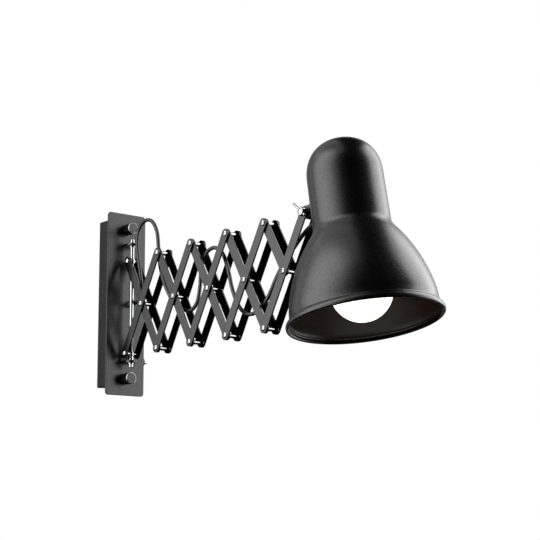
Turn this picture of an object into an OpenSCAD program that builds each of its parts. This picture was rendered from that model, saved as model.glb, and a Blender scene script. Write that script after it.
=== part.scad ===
// Accordion wall lamp: a wall box with a face plate, a vertical rod that a scissor arm
// swings on, and a spun metal shade that tilts at the arm's outer end.
// The origin is the centre of the wall box's back face. +X leaves the wall, +Z is up.
// A rise bar climbs away from the wall and a fall bar drops away from it. Left is -Y.

/* [Scissor arm] */
// Distance between the two end pivots of a full bar
bar_pitch = 126; // [100:1:135]
// Width of a bar
bar_w = 10.4; // [8.5:0.1:12]
// Thickness of a bar
bar_t = 2; // [1.5:0.1:2.5]
// Angle of the bars above the horizontal at rest
bar_angle = 59.8; // [45:0.1:70]
// Clear space between the inner pair of bars, left to right
bar_space = 11; // [10:0.5:14]
// Height of the arm's middle line above the middle of the wall box
arm_z = -6; // [-10:0.5:0]

/* [Rivets] */
// Diameter of the thick middle of a rivet, which spaces the bars
spacer_d = 5; // [4.5:0.1:6]
// Diameter of a rivet where it goes through the bars
tenon_d = 3.2; // [2.6:0.1:3.8]
// Diameter of a domed rivet head
rivet_head_d = 6.6; // [5.5:0.1:8]
// Height of a domed rivet head
rivet_head_h = 1.5; // [1:0.1:2]

/* [Wall box] */
// Depth of the wall box
box_d = 20; // [18:0.5:40]
// Width of the wall box
box_w = 48; // [46:0.5:60]
// Thickness of the box's sheet
box_t = 1.5; // [1:0.1:2]
// Distance between the two wall screw holes
screw_span = 90; // [70:1:110]
// Diameter of a wall screw hole
screw_hole_d = 5; // [4:0.1:6]
// Diameter of the hole for the supply cable
cable_hole_d = 16; // [10:0.5:20]

/* [Face plate] */
// Thickness of the face plate
plate_t = 2; // [1.5:0.1:3]
// Overhang of the plate past each side of the box
plate_side = 2.2; // [1:0.1:5]
// Overhang of the plate past each end of the box
plate_end = 9.3; // [2:0.1:15]
// Corner radius of the plate
plate_r = 4; // [1:0.1:6]
// Distance from the upper lug up to the thumb nut
nut_past = 20.1; // [18:0.1:26]
// Distance from each end of the plate to its thumb nut
nut_inset = 19.3; // [16:0.1:22]
// Diameter of a thumb nut
nut_d = 13.6; // [11:0.1:18]
// Height of a thumb nut above the plate
nut_h = 13.8; // [10:0.1:18]

/* [Pivot rod] */
// Diameter of the rod
rod_d = 5; // [4:0.1:6]
// Distance from the plate's front to the rod's axis
rod_stand = 11.7; // [11.5:0.1:16]
// Width of the lugs that hold the rod
lug_w = 14; // [11:0.5:18]
// Thickness of the lugs
lug_t = 3; // [2:0.1:4]
// Steepest angle that the bars fold to
steepest_angle = 74; // [72:1:76]

/* [Head joint] */
// Diameter of the knuckle that the shade tilts on
knuckle_d = 13; // [10:0.5:16]
// Distance from the shade's axis to the tilt axis
tilt_offset = 55.2; // [53:0.1:62]
// Height of the tilt axis above the shade's rim
tilt_h = 129.7; // [126:0.1:134]
// Tilt of the shade at rest, opening turned away from the wall
shade_tilt = 9.8; // [0:0.1:20]
// Diameter of the clamp screw's shank
clamp_d = 5; // [4:0.1:6]
// Diameter of the clamp screw's head
clamp_head_d = 9.5; // [8:0.1:12]

/* [Shade] */
// Radius of the bell just above its rolled rim
bell_r = 70.8; // [62:0.1:80]
// Reach of the rolled rim past the bell
rim_out = 4.5; // [3:0.1:6]
// Height of the rolled rim
rim_h = 14.1; // [10:0.1:18]
// Height of the crease where bell and neck meet
bell_h = 91.5; // [86:0.1:96]
// Radius of the neck at the crease
neck_r = 37.8; // [36:0.1:40]
// Narrowing of the neck up to the dome
neck_taper = 0.5; // [0:0.1:1]
// Distance from the tilt axis up to the dome
neck_past = 16.3; // [14:0.1:20]
// Height of the dome on the neck
dome_h = 38.9; // [30:0.1:44]
// Thickness of the shade's metal
shade_t = 1.2; // [0.8:0.1:1.6]

/* [Bulb and holder] */
// Diameter of the bulb
bulb_d = 60; // [50:0.5:66]
// Height of the bulb's tip above the rim
bulb_tip_h = 0.9; // [0:0.1:6]
// Length of the bulb from its tip to the rim of its cap
bulb_glass_l = 80; // [76:0.5:84]
// Diameter of the bulb's screw cap
cap_d = 26.2; // [25:0.1:27]
// Length of the screw cap
cap_l = 25; // [22:0.5:27]
// Diameter of the lampholder's skirt
holder_d = 40; // [34:0.5:44]

/* [Cord] */
// Diameter of the cord
cord_d = 4.4; // [3:0.1:5]

/* [Hidden] */
// One cylinder or curve has this many segments
$fn = 48;
// Cuts run past the faces that they open by this much
over = 1;
// Radial clearance of a running fit, and the play between two stacked layers
fit = 0.05;

// Places of the arm's pivots
rod_x = box_d + plate_t + rod_stand;
cell = bar_pitch * cos(bar_angle);
rise = bar_pitch * sin(bar_angle);
low_z = arm_z - rise / 2;
high_z = arm_z + rise / 2;
cells = 5;
tip_x = rod_x + cells * cell;

// Layers of the arm, measured out from its middle plane
inner_y = bar_space / 2;
outer_y = inner_y + bar_t + fit;
outer_end_y = outer_y + bar_t;
left = -1;
right = 1;

// Plate, lugs and rod
plate_x = box_d + plate_t;
plate_w = box_w + 2 * plate_side;
lug_play = 1;
lug_drop = 8.9;
lug_high_z = low_z + bar_pitch * sin(steepest_angle) + bar_w / 2 + lug_play + lug_t / 2;
lug_low_z = low_z - lug_drop;
nut_z = lug_high_z + nut_past;
plate_h = 2 * (nut_z + nut_inset);
box_h = plate_h - 2 * plate_end;
tenon_w = 8;
rod_end = 5.8;
rod_chamfer = 0.8;
ring_wall = 1.2;
ring_d = rod_d + 2 * ring_wall;
ring_t = 1.2;
washer_t = 1.6;
bush_top_wall = 0.5;
bush_top_d = rod_d + 2 * bush_top_wall;
bush_base_wall = 1.1;
bush_base_d = rod_d + 2 * bush_base_wall;
sleeve_wall = 1.3;
sleeve_d = rod_d + 2 * sleeve_wall;
sleeve_h = 5;

// Studs and thumb nuts
stud_d = 5;
stud_foot_d = 9;
stud_foot_t = 2;
nut_face_t = 1.5;
nut_collar_d = 9;
nut_collar_h = 2.6;
nut_chamfer = 0.8;
stud_hole_play = 0.2;

// Cord grip, beside the rod in the middle of the plate
grip_play = 0.8;
cord_play = 0.15;
grip_y = rod_d / 2 + cord_d / 2 + grip_play;
grip_base_wall = 2.3;
grip_base_d = cord_d + 2 * grip_base_wall;
grip_tip_wall = 1.1;
grip_tip_d = cord_d + 2 * grip_tip_wall;
grip_out = 9;
grip_flange_wall = 3.6;
grip_flange_d = cord_d + 2 * grip_flange_wall;
grip_flange_t = 5;

// Toggle switch in the box's right side
switch_x = 13;
switch_up = 32.2;
switch_z = switch_up - box_h / 2;
switch_w = 12;
switch_deep = 20;
switch_tall = 20;
switch_neck_d = 11;
switch_neck_l = 6;
switch_nut_d = 15;
switch_nut_t = 2;
nut_turn = 30;
toggle_d = 4;
toggle_stem_d = 2.4;
toggle_tip_d = 3.6;
toggle_out = 12.8;
toggle_ball_y = 3;
toggle_play = 0.3;
toggle_mouth_d = 7;

// Terminal block behind the plate
block_d = 11;
block_w = 14;
block_gap = 3.5;
block_y = block_gap + box_t + block_w / 2 - box_w / 2;
block_z = -22;
poles = 3;
pole_pitch = 10;
pole_wire_d = 3.2;
pole_screw_d = 4;
pole_screw_deep = 5;

// Head joint
clamp_head_t = 4.5;
clamp_chamfer = 0.5;
clamp_nut_d = 9.2;
clamp_nut_t = 4;
clamp_tail = 1;
tommy_d = 2.6;
tommy_reach = 15;
tommy_back = 6;
tommy_angle = 140;
web_w = 12;
bolt_d = 6;
bolt_head_d = 9;
bolt_head_t = 3.5;
bolt_grip = 9;

// Shade
neck_top_h = tilt_h + neck_past;
neck_h = neck_top_h - bell_h;
neck_top_r = neck_r - neck_taper;
dome_power_share = 0.88;
dome_steps = 12;
bell_steps = 12;
// The rolled rim and the bell's curve, as shares across and up
rim_shares = [[0.72, 0], [1, 0.11], [0.94, 0.33], [0.1, 0.88]];
bell_shares = [[1, 0], [0.99, 0.18], [0.7, 0.66], [0, 1]];
lip_h = 4.5;
cord_hole_drop = 11.2;
cord_hole_h = tilt_h - cord_hole_drop;
bush_play = 0.35;
bush_wall = 0.9;
bush_d = cord_d + 2 * (bush_play + bush_wall);
bush_lip = 1.1;
bush_flange_d = bush_d + 2 * bush_lip;
bush_flange_t = 1;

// Strap, holder and bulb
strap_w = 12;
strap_t = 1.5;
strap_rise = 5.3;
strap_drop = 6;
strap_h = tilt_h + strap_rise;
strap_low_h = tilt_h - strap_drop;
strap_past = 8;
nipple_d = 10;
nipple_bore_d = 7;
nipple_up = 11;
holder_nut_d = 15;
holder_nut_t = 4;
holder_top_d = 34;
holder_t = 2;
holder_bore_play = 0.4;
holder_skirt = 2;
contact_t = 2.5;
bulb_neck_arc = 40;
bulb_arc_steps = 14;
bulb_curve_steps = 8;
glass_t = 0.9;
cap_t = 0.7;
cap_grip = 5;
cap_cone_share = 0.6;
cap_tip_share = 0.35;
cap_cone_l = 2.5;
cap_tip_l = 1.2;
// The bulb's neck curve: how far its two handles reach, as shares of its height
bulb_handle_shares = [0.4, 0.45];

// The cord's route, from the wall box through the arm into the shade's neck
cord_route = [
    [12, 5.5, 0], [22, 5.5, 0], [32, 5.5, 0], [41.5, 4.8, 2.1], [48.9, 3, 8.4],
    [52.4, 1, 18], [52, 0, 28], [48.8, 0, 42], [45, 0, 58], [43.9, 0, 74],
    [49, 0, 87.4], [61.8, 0, 93.4], [75, 0, 89], [84.5, 0, 75], [87.8, 0, 56],
    [91.5, 0, 34], [101, 0, 11.5], [117, 0, -9], [136, 0, -20.8], [151, 0, -23.9],
    [162.3, 0, -16.5], [167.5, 0, 0], [170, 0, 21], [178.5, 0, 35.2], [193, 0, 39.3],
    [207.5, 0, 31], [217, 0, 13], [225, 0, -11], [236.5, 0, -31], [251, 0, -40.5],
    [266, 0, -39.5], [283, 0, -28.5], [301, 0, -5], [320, 0, 13], [338, 0, 27.5],
    [351, 0, 35], [361.6, 0, 39], [368, 0, 40.1], [373.2, 0.1, 41], [378.3, 2.2, 43.4],
    [381.2, 6.6, 49.6], [380.5, 10.4, 59], [380.1, 10.9, 69.1], [382.2, 9.3, 78.8],
    [389.3, 5.4, 84.2], [397.4, 1.7, 81.6], [402.1, 0.1, 74.3], [403.3, 0, 67.5]];
cord_sides = 8;
cord_steps = 2;

// Shapes and curves that several pieces share

// A cylinder along X
module x_cylinder(d, x0, x1) {
    translate([x0, 0, 0]) rotate([0, 90, 0]) cylinder(d = d, h = x1 - x0);
}

// A cylinder along Y
module y_cylinder(d, y0, y1) {
    translate([0, y1, 0]) rotate([90, 0, 0]) cylinder(d = d, h = y1 - y0);
}

// A turned piece along X, from points of [radius, x]
module turned_x(points) {
    rotate([0, 90, 0]) rotate_extrude() polygon(points);
}

// A turned piece along Y, from points of [radius, y]
module turned_y(points) {
    rotate([-90, 0, 0]) rotate_extrude() polygon(points);
}

// A slab across X with round corners
module slab(x0, x1, w, h, r) {
    translate([x0, -w / 2 + r, -h / 2]) cube([x1 - x0, w - 2 * r, h]);
    translate([x0, -w / 2, -h / 2 + r]) cube([x1 - x0, w, h - 2 * r]);
    for (sy = [-1, 1], sz = [-1, 1]) {
        translate([0, sy * (w / 2 - r), sz * (h / 2 - r)]) x_cylinder(2 * r, x0, x1);
    }
}

// A point on a cubic curve with control points p
function curve(p, t) = pow(1 - t, 3) * p[0] + 3 * pow(1 - t, 2) * t * p[1]
    + 3 * (1 - t) * t * t * p[2] + pow(t, 3) * p[3];

// The direction of a path at its point i
function heading(p, i) = let (d = p[min(i + 1, len(p) - 1)] - p[max(i - 1, 0)]) d / norm(d);

// The path moved in by t, to the left of the way it runs. What is on the axis stays on it.
function inset(p, t) = [for (i = [0 : len(p) - 1]) let (d = heading(p, i))
    [p[i].x == 0 ? 0 : p[i].x - t * d.y, p[i].y + t * d.x]];

// The path turned round
function backwards(p) = [for (i = [len(p) - 1 : -1 : 0]) p[i]];

// A shell of thickness t inside a path of [radius, height]
function shell(p, t) = concat(p, backwards(inset(p, t)));

// Wall box and what it holds

// Folded box: open to the front, with holes for wall screws, supply cable, and switch
module wall_box() {
    color("#1b1b1c") difference() {
        slab(0, box_d, box_w, box_h, box_t);
        translate([box_t, -box_w / 2 + box_t, -box_h / 2 + box_t]) {
            cube([box_d, box_w - 2 * box_t, box_h - 2 * box_t]);
        }
        for (s = [-1, 1]) {
            translate([0, 0, s * screw_span / 2]) x_cylinder(screw_hole_d, -over, box_t + over);
        }
        x_cylinder(cable_hole_d, -over, box_t + over);
        translate([switch_x, 0, switch_z]) y_cylinder(switch_neck_d + 2 * fit, 0, box_w / 2 + over);
    }
}

// Flat cover with holes for the studs and the cord grip, and slots for the lugs
module face_plate() {
    color("#232324") difference() {
        slab(box_d, plate_x, plate_w, plate_h, plate_r);
        for (s = [-1, 1]) {
            translate([0, 0, s * nut_z]) {
                x_cylinder(stud_d + 2 * stud_hole_play, box_d - over, plate_x + over);
            }
        }
        translate([0, grip_y, 0]) x_cylinder(grip_base_d + 2 * fit, box_d - over, plate_x + over);
        for (z = [lug_low_z, lug_high_z]) {
            translate([box_d - over, -tenon_w / 2 - fit, z - lug_t / 2 - fit]) {
                cube([plate_t + 2 * over, tenon_w + 2 * fit, lug_t + 2 * fit]);
            }
        }
    }
}

// Lug with a round end, and a tenon that is riveted over behind the plate
module lug(z) {
    color("#1f1f20") translate([0, 0, z]) difference() {
        union() {
            translate([plate_x, -lug_w / 2, -lug_t / 2]) cube([rod_stand, lug_w, lug_t]);
            translate([rod_x, 0, -lug_t / 2]) cylinder(d = lug_w, h = lug_t);
            translate([box_d, -tenon_w / 2, -lug_t / 2]) {
                cube([plate_t + over, tenon_w, lug_t]);
            }
        }
        translate([rod_x, 0, -lug_t]) cylinder(d = rod_d, h = 2 * lug_t);
    }
}

// Two studs that stand on the back of the box and carry the face plate
module cover_studs() {
    color("#8d8f92") for (s = [-1, 1]) {
        translate([0, 0, s * nut_z]) {
            x_cylinder(stud_d, box_t, plate_x + nut_h - nut_face_t);
            x_cylinder(stud_foot_d, box_t, box_t + stud_foot_t);
        }
    }
}

// Thumb nut: a collar, a round knob with a bevelled front, and a blind bore
module thumb_nut(z) {
    top = plate_x + nut_h;
    color("#2a2a2b") translate([0, 0, z]) difference() {
        turned_x([[0, plate_x], [nut_collar_d / 2, plate_x],
            [nut_collar_d / 2, plate_x + nut_collar_h],
            [nut_d / 2 - nut_chamfer, plate_x + nut_collar_h],
            [nut_d / 2, plate_x + nut_collar_h + nut_chamfer],
            [nut_d / 2, top - nut_chamfer], [nut_d / 2 - nut_chamfer, top], [0, top]]);
        x_cylinder(stud_d + 2 * fit, plate_x - over, top - nut_face_t);
    }
}

// Terminal block with a wire hole and a screw well for each pole
module terminal_block() {
    block_h = poles * pole_pitch;
    color("#e4e2da") translate([box_t, block_y, block_z]) difference() {
        translate([0, -block_w / 2, -block_h / 2]) cube([block_d, block_w, block_h]);
        for (i = [0 : poles - 1]) {
            translate([block_d / 2, 0, (i + 0.5) * pole_pitch - block_h / 2]) {
                y_cylinder(pole_wire_d, -block_w, block_w);
                x_cylinder(pole_screw_d, block_d / 2 - pole_screw_deep, block_d);
            }
        }
    }
}

// Tapered grip that holds the cord in the plate, with a flange behind it
module cord_grip() {
    color("#151516") translate([0, grip_y, 0]) difference() {
        turned_x([[0, box_d - grip_flange_t], [grip_flange_d / 2, box_d - grip_flange_t],
            [grip_flange_d / 2, box_d], [grip_base_d / 2, box_d], [grip_base_d / 2, plate_x],
            [grip_tip_d / 2, plate_x + grip_out], [0, plate_x + grip_out]]);
        x_cylinder(cord_d + 2 * cord_play, box_d - grip_flange_t - over, plate_x + grip_out + over);
    }
}

// Switch case inside the box, with a threaded neck that comes out of its side
module switch_body() {
    wall_y = box_w / 2 - box_t;
    neck_y = box_w / 2 + switch_neck_l;
    ball_y = box_w / 2 + toggle_ball_y;
    bore_d = toggle_d + 2 * toggle_play;
    color("#6f7174") translate([switch_x, 0, switch_z]) difference() {
        union() {
            translate([-switch_w / 2, wall_y - switch_deep, -switch_tall / 2]) {
                cube([switch_w, switch_deep, switch_tall]);
            }
            y_cylinder(switch_neck_d, wall_y - over, neck_y);
        }
        turned_y([[0, ball_y - toggle_d / 2 - toggle_play], [bore_d / 2, ball_y - toggle_d / 2 - toggle_play],
            [bore_d / 2, ball_y], [toggle_mouth_d / 2, neck_y], [toggle_mouth_d / 2, neck_y + over],
            [0, neck_y + over]]);
    }
}

// Hexagon nut that holds the switch neck to the box
module switch_nut() {
    color("#b9bbbe") translate([switch_x, 0, switch_z]) difference() {
        translate([0, box_w / 2 + switch_nut_t, 0]) rotate([90, nut_turn, 0]) {
            cylinder(d = switch_nut_d, h = switch_nut_t, $fn = 6);
        }
        y_cylinder(switch_neck_d, box_w / 2 - over, box_w / 2 + switch_nut_t + over);
    }
}

// Toggle lever: a ball in the switch neck, a thin stem, and a thicker round tip
module switch_lever() {
    ball_y = box_w / 2 + toggle_ball_y;
    tip_y = box_w / 2 + toggle_out - toggle_tip_d / 2;
    color("#d5d7da") translate([switch_x, 0, switch_z]) {
        translate([0, ball_y, 0]) sphere(d = toggle_d);
        turned_y([[0, ball_y], [toggle_stem_d / 2, ball_y], [toggle_tip_d / 2, tip_y], [0, tip_y]]);
        translate([0, tip_y, 0]) sphere(d = toggle_tip_d);
    }
}

// Pivot rod and what keeps it in its lugs

// Rod through both lugs, with bevelled ends
module pivot_rod() {
    r = rod_d / 2;
    low = lug_low_z - lug_t / 2 - rod_end;
    high = lug_high_z + lug_t / 2 + rod_end;
    color("#d9dbde") translate([rod_x, 0, 0]) rotate_extrude() {
        polygon([[0, low], [r - rod_chamfer, low], [r, low + rod_chamfer],
            [r, high - rod_chamfer], [r - rod_chamfer, high], [0, high]]);
    }
}

// A flat or tapered ring on the rod
module rod_ring(z, h, low_d, high_d) {
    color("#cfd1d4") translate([rod_x, 0, z]) difference() {
        cylinder(d1 = low_d, d2 = high_d, h = h);
        translate([0, 0, -over]) cylinder(d = rod_d, h = h + 2 * over);
    }
}

// A pin across the rod, whose sleeve turns and slides on it. Its shoulders are at
// shoulder_y and its heads at head_y.
module cross_pin(z, shoulder_y, head_y) {
    color("#d9dbde") translate([rod_x, 0, z]) difference() {
        union() {
            rivet(shoulder_y, head_y);
            translate([0, 0, -sleeve_h / 2]) cylinder(d = sleeve_d, h = sleeve_h);
        }
        translate([0, 0, -sleeve_h]) cylinder(d = rod_d + 2 * fit, h = 2 * sleeve_h);
    }
}

// Scissor arm

// Double-headed rivet along Y: spacer, two tenons and two domed heads
module rivet(shoulder_y, head_y) {
    y_cylinder(spacer_d, -shoulder_y, shoulder_y);
    y_cylinder(tenon_d, -head_y, head_y);
    dome_r = (pow(rivet_head_d / 2, 2) + pow(rivet_head_h, 2)) / (2 * rivet_head_h);
    for (s = [-1, 1]) {
        intersection() {
            translate([0, s * (head_y + rivet_head_h - dome_r), 0]) sphere(r = dome_r);
            scale([1, s, 1]) y_cylinder(rivet_head_d, head_y, head_y + rivet_head_h + over);
        }
    }
}

// Flat bar along X with round ends: its ends, and its bores as pairs of place and diameter
module flat_bar(side, layer_y, ends, bores) {
    y0 = side > 0 ? layer_y : -layer_y - bar_t;
    difference() {
        union() {
            translate([ends[0], y0, -bar_w / 2]) cube([ends[1] - ends[0], bar_t, bar_w]);
            for (x = ends) {
                translate([x, 0, 0]) y_cylinder(bar_w, y0, y0 + bar_t);
            }
        }
        for (b = bores) {
            translate([b[0], 0, 0]) y_cylinder(b[1], y0 - over, y0 + bar_t + over);
        }
    }
}

// Middle of cell k, counted from the wall
function cell_x(k) = rod_x + (k - 0.5) * cell;

// Rising bar of cell k, in the outer layer. It grips its own rivets, and turns on the
// lower cross pin and on the clamp screw.
module rise_bar(k, side) {
    half = bar_pitch / 2;
    low_bore = k == 1 ? tenon_d + 2 * fit : tenon_d;
    high_bore = k == cells ? clamp_d + 2 * fit : tenon_d;
    color("#1d1d1e") translate([cell_x(k), 0, arm_z]) rotate([0, -bar_angle, 0]) {
        flat_bar(side, outer_y, [-half, half], [[-half, low_bore], [0, tenon_d], [half, high_bore]]);
    }
}

// Falling bar of cell k, in the inner layer. The last one is half as long.
module fall_bar(k, side) {
    half = bar_pitch / 2;
    bore = tenon_d + 2 * fit;
    ends = k == cells ? [-half, 0] : [-half, half];
    bores = k == cells ? [[-half, bore], [0, bore]] : [[-half, bore], [0, bore], [half, bore]];
    color("#1d1d1e") translate([cell_x(k), 0, arm_z]) rotate([0, bar_angle, 0]) {
        flat_bar(side, inner_y, ends, bores);
    }
}

// Rivets that the rising bars of cell k carry: middle, upper and lower
module rivets(k) {
    low_place = k == 1 ? [] : [[rod_x + (k - 1) * cell, low_z]];
    high_place = k == cells ? [] : [[rod_x + k * cell, high_z]];
    color("#d9dbde") for (p = concat([[cell_x(k), arm_z]], low_place, high_place)) {
        translate([p[0], 0, p[1]]) rivet(inner_y - fit, outer_end_y);
    }
}

// Head joint

// Clamp screw through the bars and the knuckle, with a round head that has a cross hole
module clamp_screw() {
    r = clamp_head_d / 2;
    seat = outer_end_y + fit;
    tail = outer_end_y + clamp_nut_t + clamp_tail;
    color("#d9dbde") translate([tip_x, 0, high_z]) difference() {
        turned_y([[0, -seat - clamp_head_t], [r - clamp_chamfer, -seat - clamp_head_t],
            [r, -seat - clamp_head_t + clamp_chamfer], [r, -seat - clamp_chamfer],
            [r - clamp_chamfer, -seat], [clamp_d / 2, -seat], [clamp_d / 2, tail], [0, tail]]);
        tommy_place() cylinder(d = tommy_d, h = tommy_back + tommy_reach, center = true);
    }
}

// The cross hole's middle, with Z along the tommy bar
module tommy_place() {
    translate([0, -outer_end_y - fit - clamp_head_t / 2, 0]) rotate([0, 90 - tommy_angle, 0]) children();
}

// Tommy bar that turns the clamp screw, with round ends
module tommy_bar() {
    color("#d9dbde") translate([tip_x, 0, high_z]) tommy_place() {
        translate([0, 0, -tommy_back]) cylinder(d = tommy_d, h = tommy_back + tommy_reach);
        for (z = [-tommy_back, tommy_reach]) {
            translate([0, 0, z]) sphere(d = tommy_d);
        }
    }
}

// Hexagon nut at the clamp screw's far end
module clamp_nut() {
    color("#cfd1d4") translate([tip_x, 0, high_z]) difference() {
        translate([0, outer_end_y + clamp_nut_t, 0]) rotate([90, 0, 0]) {
            cylinder(d = clamp_nut_d, h = clamp_nut_t, $fn = 6);
        }
        y_cylinder(clamp_d + 2 * fit, outer_end_y - over, outer_end_y + clamp_nut_t + over);
    }
}

// The shade's own frame: Z up its axis from the rim, X away from the wall
module in_shade() {
    translate([tip_x, 0, high_z]) rotate([0, -shade_tilt, 0]) {
        translate([tilt_offset, 0, -tilt_h]) children();
    }
}

// The neck's outer radius at height h
function neck_r_at(h) = neck_r - neck_taper * (h - bell_h) / neck_h;

// The neck's outside, as a plain solid to cut with
module neck_solid() {
    translate([0, 0, bell_h]) cylinder(r1 = neck_r, r2 = neck_top_r, h = neck_h);
}

// Knuckle between the last rising bars, and the arm that joins it to the neck
module head_bracket() {
    web_x = neck_r + over;
    color("#1a1a1b") in_shade() difference() {
        union() {
            translate([-tilt_offset, 0, tilt_h]) y_cylinder(knuckle_d, -outer_y + fit, outer_y - fit);
            translate([-tilt_offset, -web_w / 2, tilt_h - knuckle_d / 2]) {
                cube([tilt_offset - neck_top_r + over, web_w, knuckle_d]);
            }
        }
        neck_solid();
        translate([-tilt_offset, 0, tilt_h]) y_cylinder(clamp_d + 2 * fit, -outer_y, outer_y);
        translate([0, 0, tilt_h]) x_cylinder(bolt_d, -neck_r - bolt_grip, -neck_r + over);
    }
}

// Bolt that holds the bracket, the neck and the strap together
module neck_bolt() {
    head_x = -strap_x() + strap_t;
    color("#b9bbbe") in_shade() translate([0, 0, tilt_h]) {
        x_cylinder(bolt_d, -neck_r - bolt_grip, head_x);
        translate([head_x, 0, 0]) rotate([0, 90, 0]) cylinder(d = bolt_head_d, h = bolt_head_t, $fn = 6);
    }
}

// Shade, holder and bulb

// Outer line of the rolled rim, from its lower edge up to the bell
rim_line = [for (s = rim_shares) [bell_r + s[0] * rim_out, s[1] * rim_h]];
// Outer line of the wall, from the rim to the top of the dome
wall_line = concat(
    [for (i = [0 : bell_steps]) let (s = curve(bell_shares, i / bell_steps))
        [neck_r + s[0] * (bell_r - neck_r), rim_h + s[1] * (bell_h - rim_h)]],
    [for (i = [0 : dome_steps]) let (a = 90 * i / dome_steps)
        [neck_top_r * pow(cos(a), dome_power_share),
            neck_top_h + dome_h * pow(sin(a), dome_power_share)]]);

// One spun piece: rolled rim, bell, neck and dome, with a bolt hole and a cord hole
module shade() {
    color("#1c1c1d") in_shade() difference() {
        rotate_extrude() polygon(concat(rim_line, shell(wall_line, shade_t),
            [[bell_r - shade_t, lip_h]]));
        translate([0, 0, tilt_h]) x_cylinder(bolt_d, -neck_r - over, -neck_r / 2);
        translate([0, 0, cord_hole_h]) x_cylinder(bush_d, -neck_r - over, -neck_r / 2);
    }
}

// Grommet that leads the cord through the neck, with a flange on each side of the round wall
module cord_bush() {
    x = -neck_r_at(cord_hole_h) - 2 * fit;
    seat = 2 * fit - sqrt(pow(neck_r_at(cord_hole_h) - shade_t, 2) - pow(bush_flange_d / 2, 2));
    r = bush_d / 2 - fit;
    color("#151516") in_shade() translate([0, 0, cord_hole_h]) difference() {
        turned_x([[0, x - bush_flange_t], [bush_flange_d / 2, x - bush_flange_t],
            [bush_flange_d / 2, x], [r, x], [r, seat], [bush_flange_d / 2, seat],
            [bush_flange_d / 2, seat + bush_flange_t], [0, seat + bush_flange_t]]);
        x_cylinder(cord_d + 2 * bush_play, x - 2 * over, seat + bush_flange_t + over);
    }
}

// How far the strap's flat foot lies from the axis, seated against the round neck
function strap_x() = sqrt(pow(neck_top_r - shade_t, 2) - pow(strap_w / 2, 2));

// Angle strap inside the neck: a foot on the wall and a shelf for the holder
module holder_strap() {
    color("#9a9c9f") in_shade() difference() {
        union() {
            translate([-strap_x(), -strap_w / 2, strap_low_h]) {
                cube([strap_t, strap_w, strap_h + strap_t - strap_low_h]);
            }
            translate([-strap_x(), -strap_w / 2, strap_h]) {
                cube([strap_x() + strap_past, strap_w, strap_t]);
            }
        }
        translate([0, 0, tilt_h]) x_cylinder(bolt_d, -neck_r, -neck_r / 2);
        translate([0, 0, strap_h - over]) cylinder(d = nipple_d + 2 * fit, h = strap_t + 2 * over);
    }
}

// Height of the bulb cap's contact above the rim
contact_h = bulb_tip_h + bulb_glass_l + cap_l;

// Lampholder: a skirt with the bulb's bore, a floor with the contact, and a closed top
module lampholder() {
    bore_r = cap_d / 2 + holder_bore_play;
    low = bulb_tip_h + bulb_glass_l - holder_skirt;
    color("#e6e4df") in_shade() difference() {
        rotate_extrude() polygon([[bore_r, low], [holder_d / 2, low],
            [holder_d / 2, contact_h - holder_t], [holder_top_d / 2, strap_h],
            [0, strap_h], [0, contact_h], [bore_r, contact_h]]);
        translate([0, 0, contact_h + contact_t]) {
            cylinder(d = holder_top_d - 2 * holder_t, h = strap_h - contact_h - contact_t - holder_t);
        }
        translate([0, 0, strap_h - holder_t - over]) {
            cylinder(d = nipple_d + 2 * fit, h = holder_t + 2 * over);
        }
    }
}

// Threaded tube that the holder hangs from, and that the cord enters
module holder_nipple() {
    color("#c9a45a") in_shade() translate([0, 0, strap_h - holder_t]) difference() {
        cylinder(d = nipple_d, h = holder_t + nipple_up);
        translate([0, 0, -over]) cylinder(d = nipple_bore_d, h = holder_t + nipple_up + 2 * over);
    }
}

// Hexagon nut on the nipple, above the strap
module holder_nut() {
    color("#c9a45a") in_shade() translate([0, 0, strap_h + strap_t]) difference() {
        cylinder(d = holder_nut_d, h = holder_nut_t, $fn = 6);
        translate([0, 0, -over]) cylinder(d = nipple_d + 2 * fit, h = holder_nut_t + 2 * over);
    }
}

// Outer line of the glass, from its tip round the globe and up to the inside of the cap
bulb_r = bulb_d / 2;
bulb_mid_h = bulb_tip_h + bulb_r;
cap_low_h = bulb_tip_h + bulb_glass_l;
glass_neck_r = cap_d / 2 - cap_t - fit;
glass_rise = cap_low_h - bulb_mid_h - bulb_r * sin(bulb_neck_arc);
glass_knee = [bulb_r * cos(bulb_neck_arc), bulb_mid_h + bulb_r * sin(bulb_neck_arc)];
glass_curve = [glass_knee,
    glass_knee + glass_rise * bulb_handle_shares[0] * [-sin(bulb_neck_arc), cos(bulb_neck_arc)],
    [glass_neck_r, cap_low_h - glass_rise * bulb_handle_shares[1]],
    [glass_neck_r, cap_low_h]];
glass_line = concat(
    [for (i = [0 : bulb_arc_steps - 1]) let (a = -90 + (90 + bulb_neck_arc) * i / bulb_arc_steps)
        [bulb_r * cos(a), bulb_mid_h + bulb_r * sin(a)]],
    [for (i = [0 : bulb_curve_steps]) curve(glass_curve, i / bulb_curve_steps)],
    [[glass_neck_r, cap_low_h + cap_grip]]);

// Opal glass of a household bulb
module bulb_glass() {
    color("#fbf7ee") in_shade() rotate_extrude() polygon(shell(glass_line, glass_t));
}

// Screw cap: a metal shell with a cone and a contact on top
module bulb_cap() {
    r = cap_d / 2;
    low = cap_low_h;
    cone = contact_h - cap_tip_l - cap_cone_l;
    cap_line = [[r, low], [r, cone], [r * cap_cone_share, contact_h - cap_tip_l],
        [r * cap_tip_share, contact_h - cap_tip_l], [r * cap_tip_share, contact_h], [0, contact_h]];
    color("#b9bbbe") in_shade() rotate_extrude() {
        polygon(concat(cap_line, [[0, cone - cap_t], [r - cap_t, cone - cap_t], [r - cap_t, low]]));
    }
}

// Cord

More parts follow.
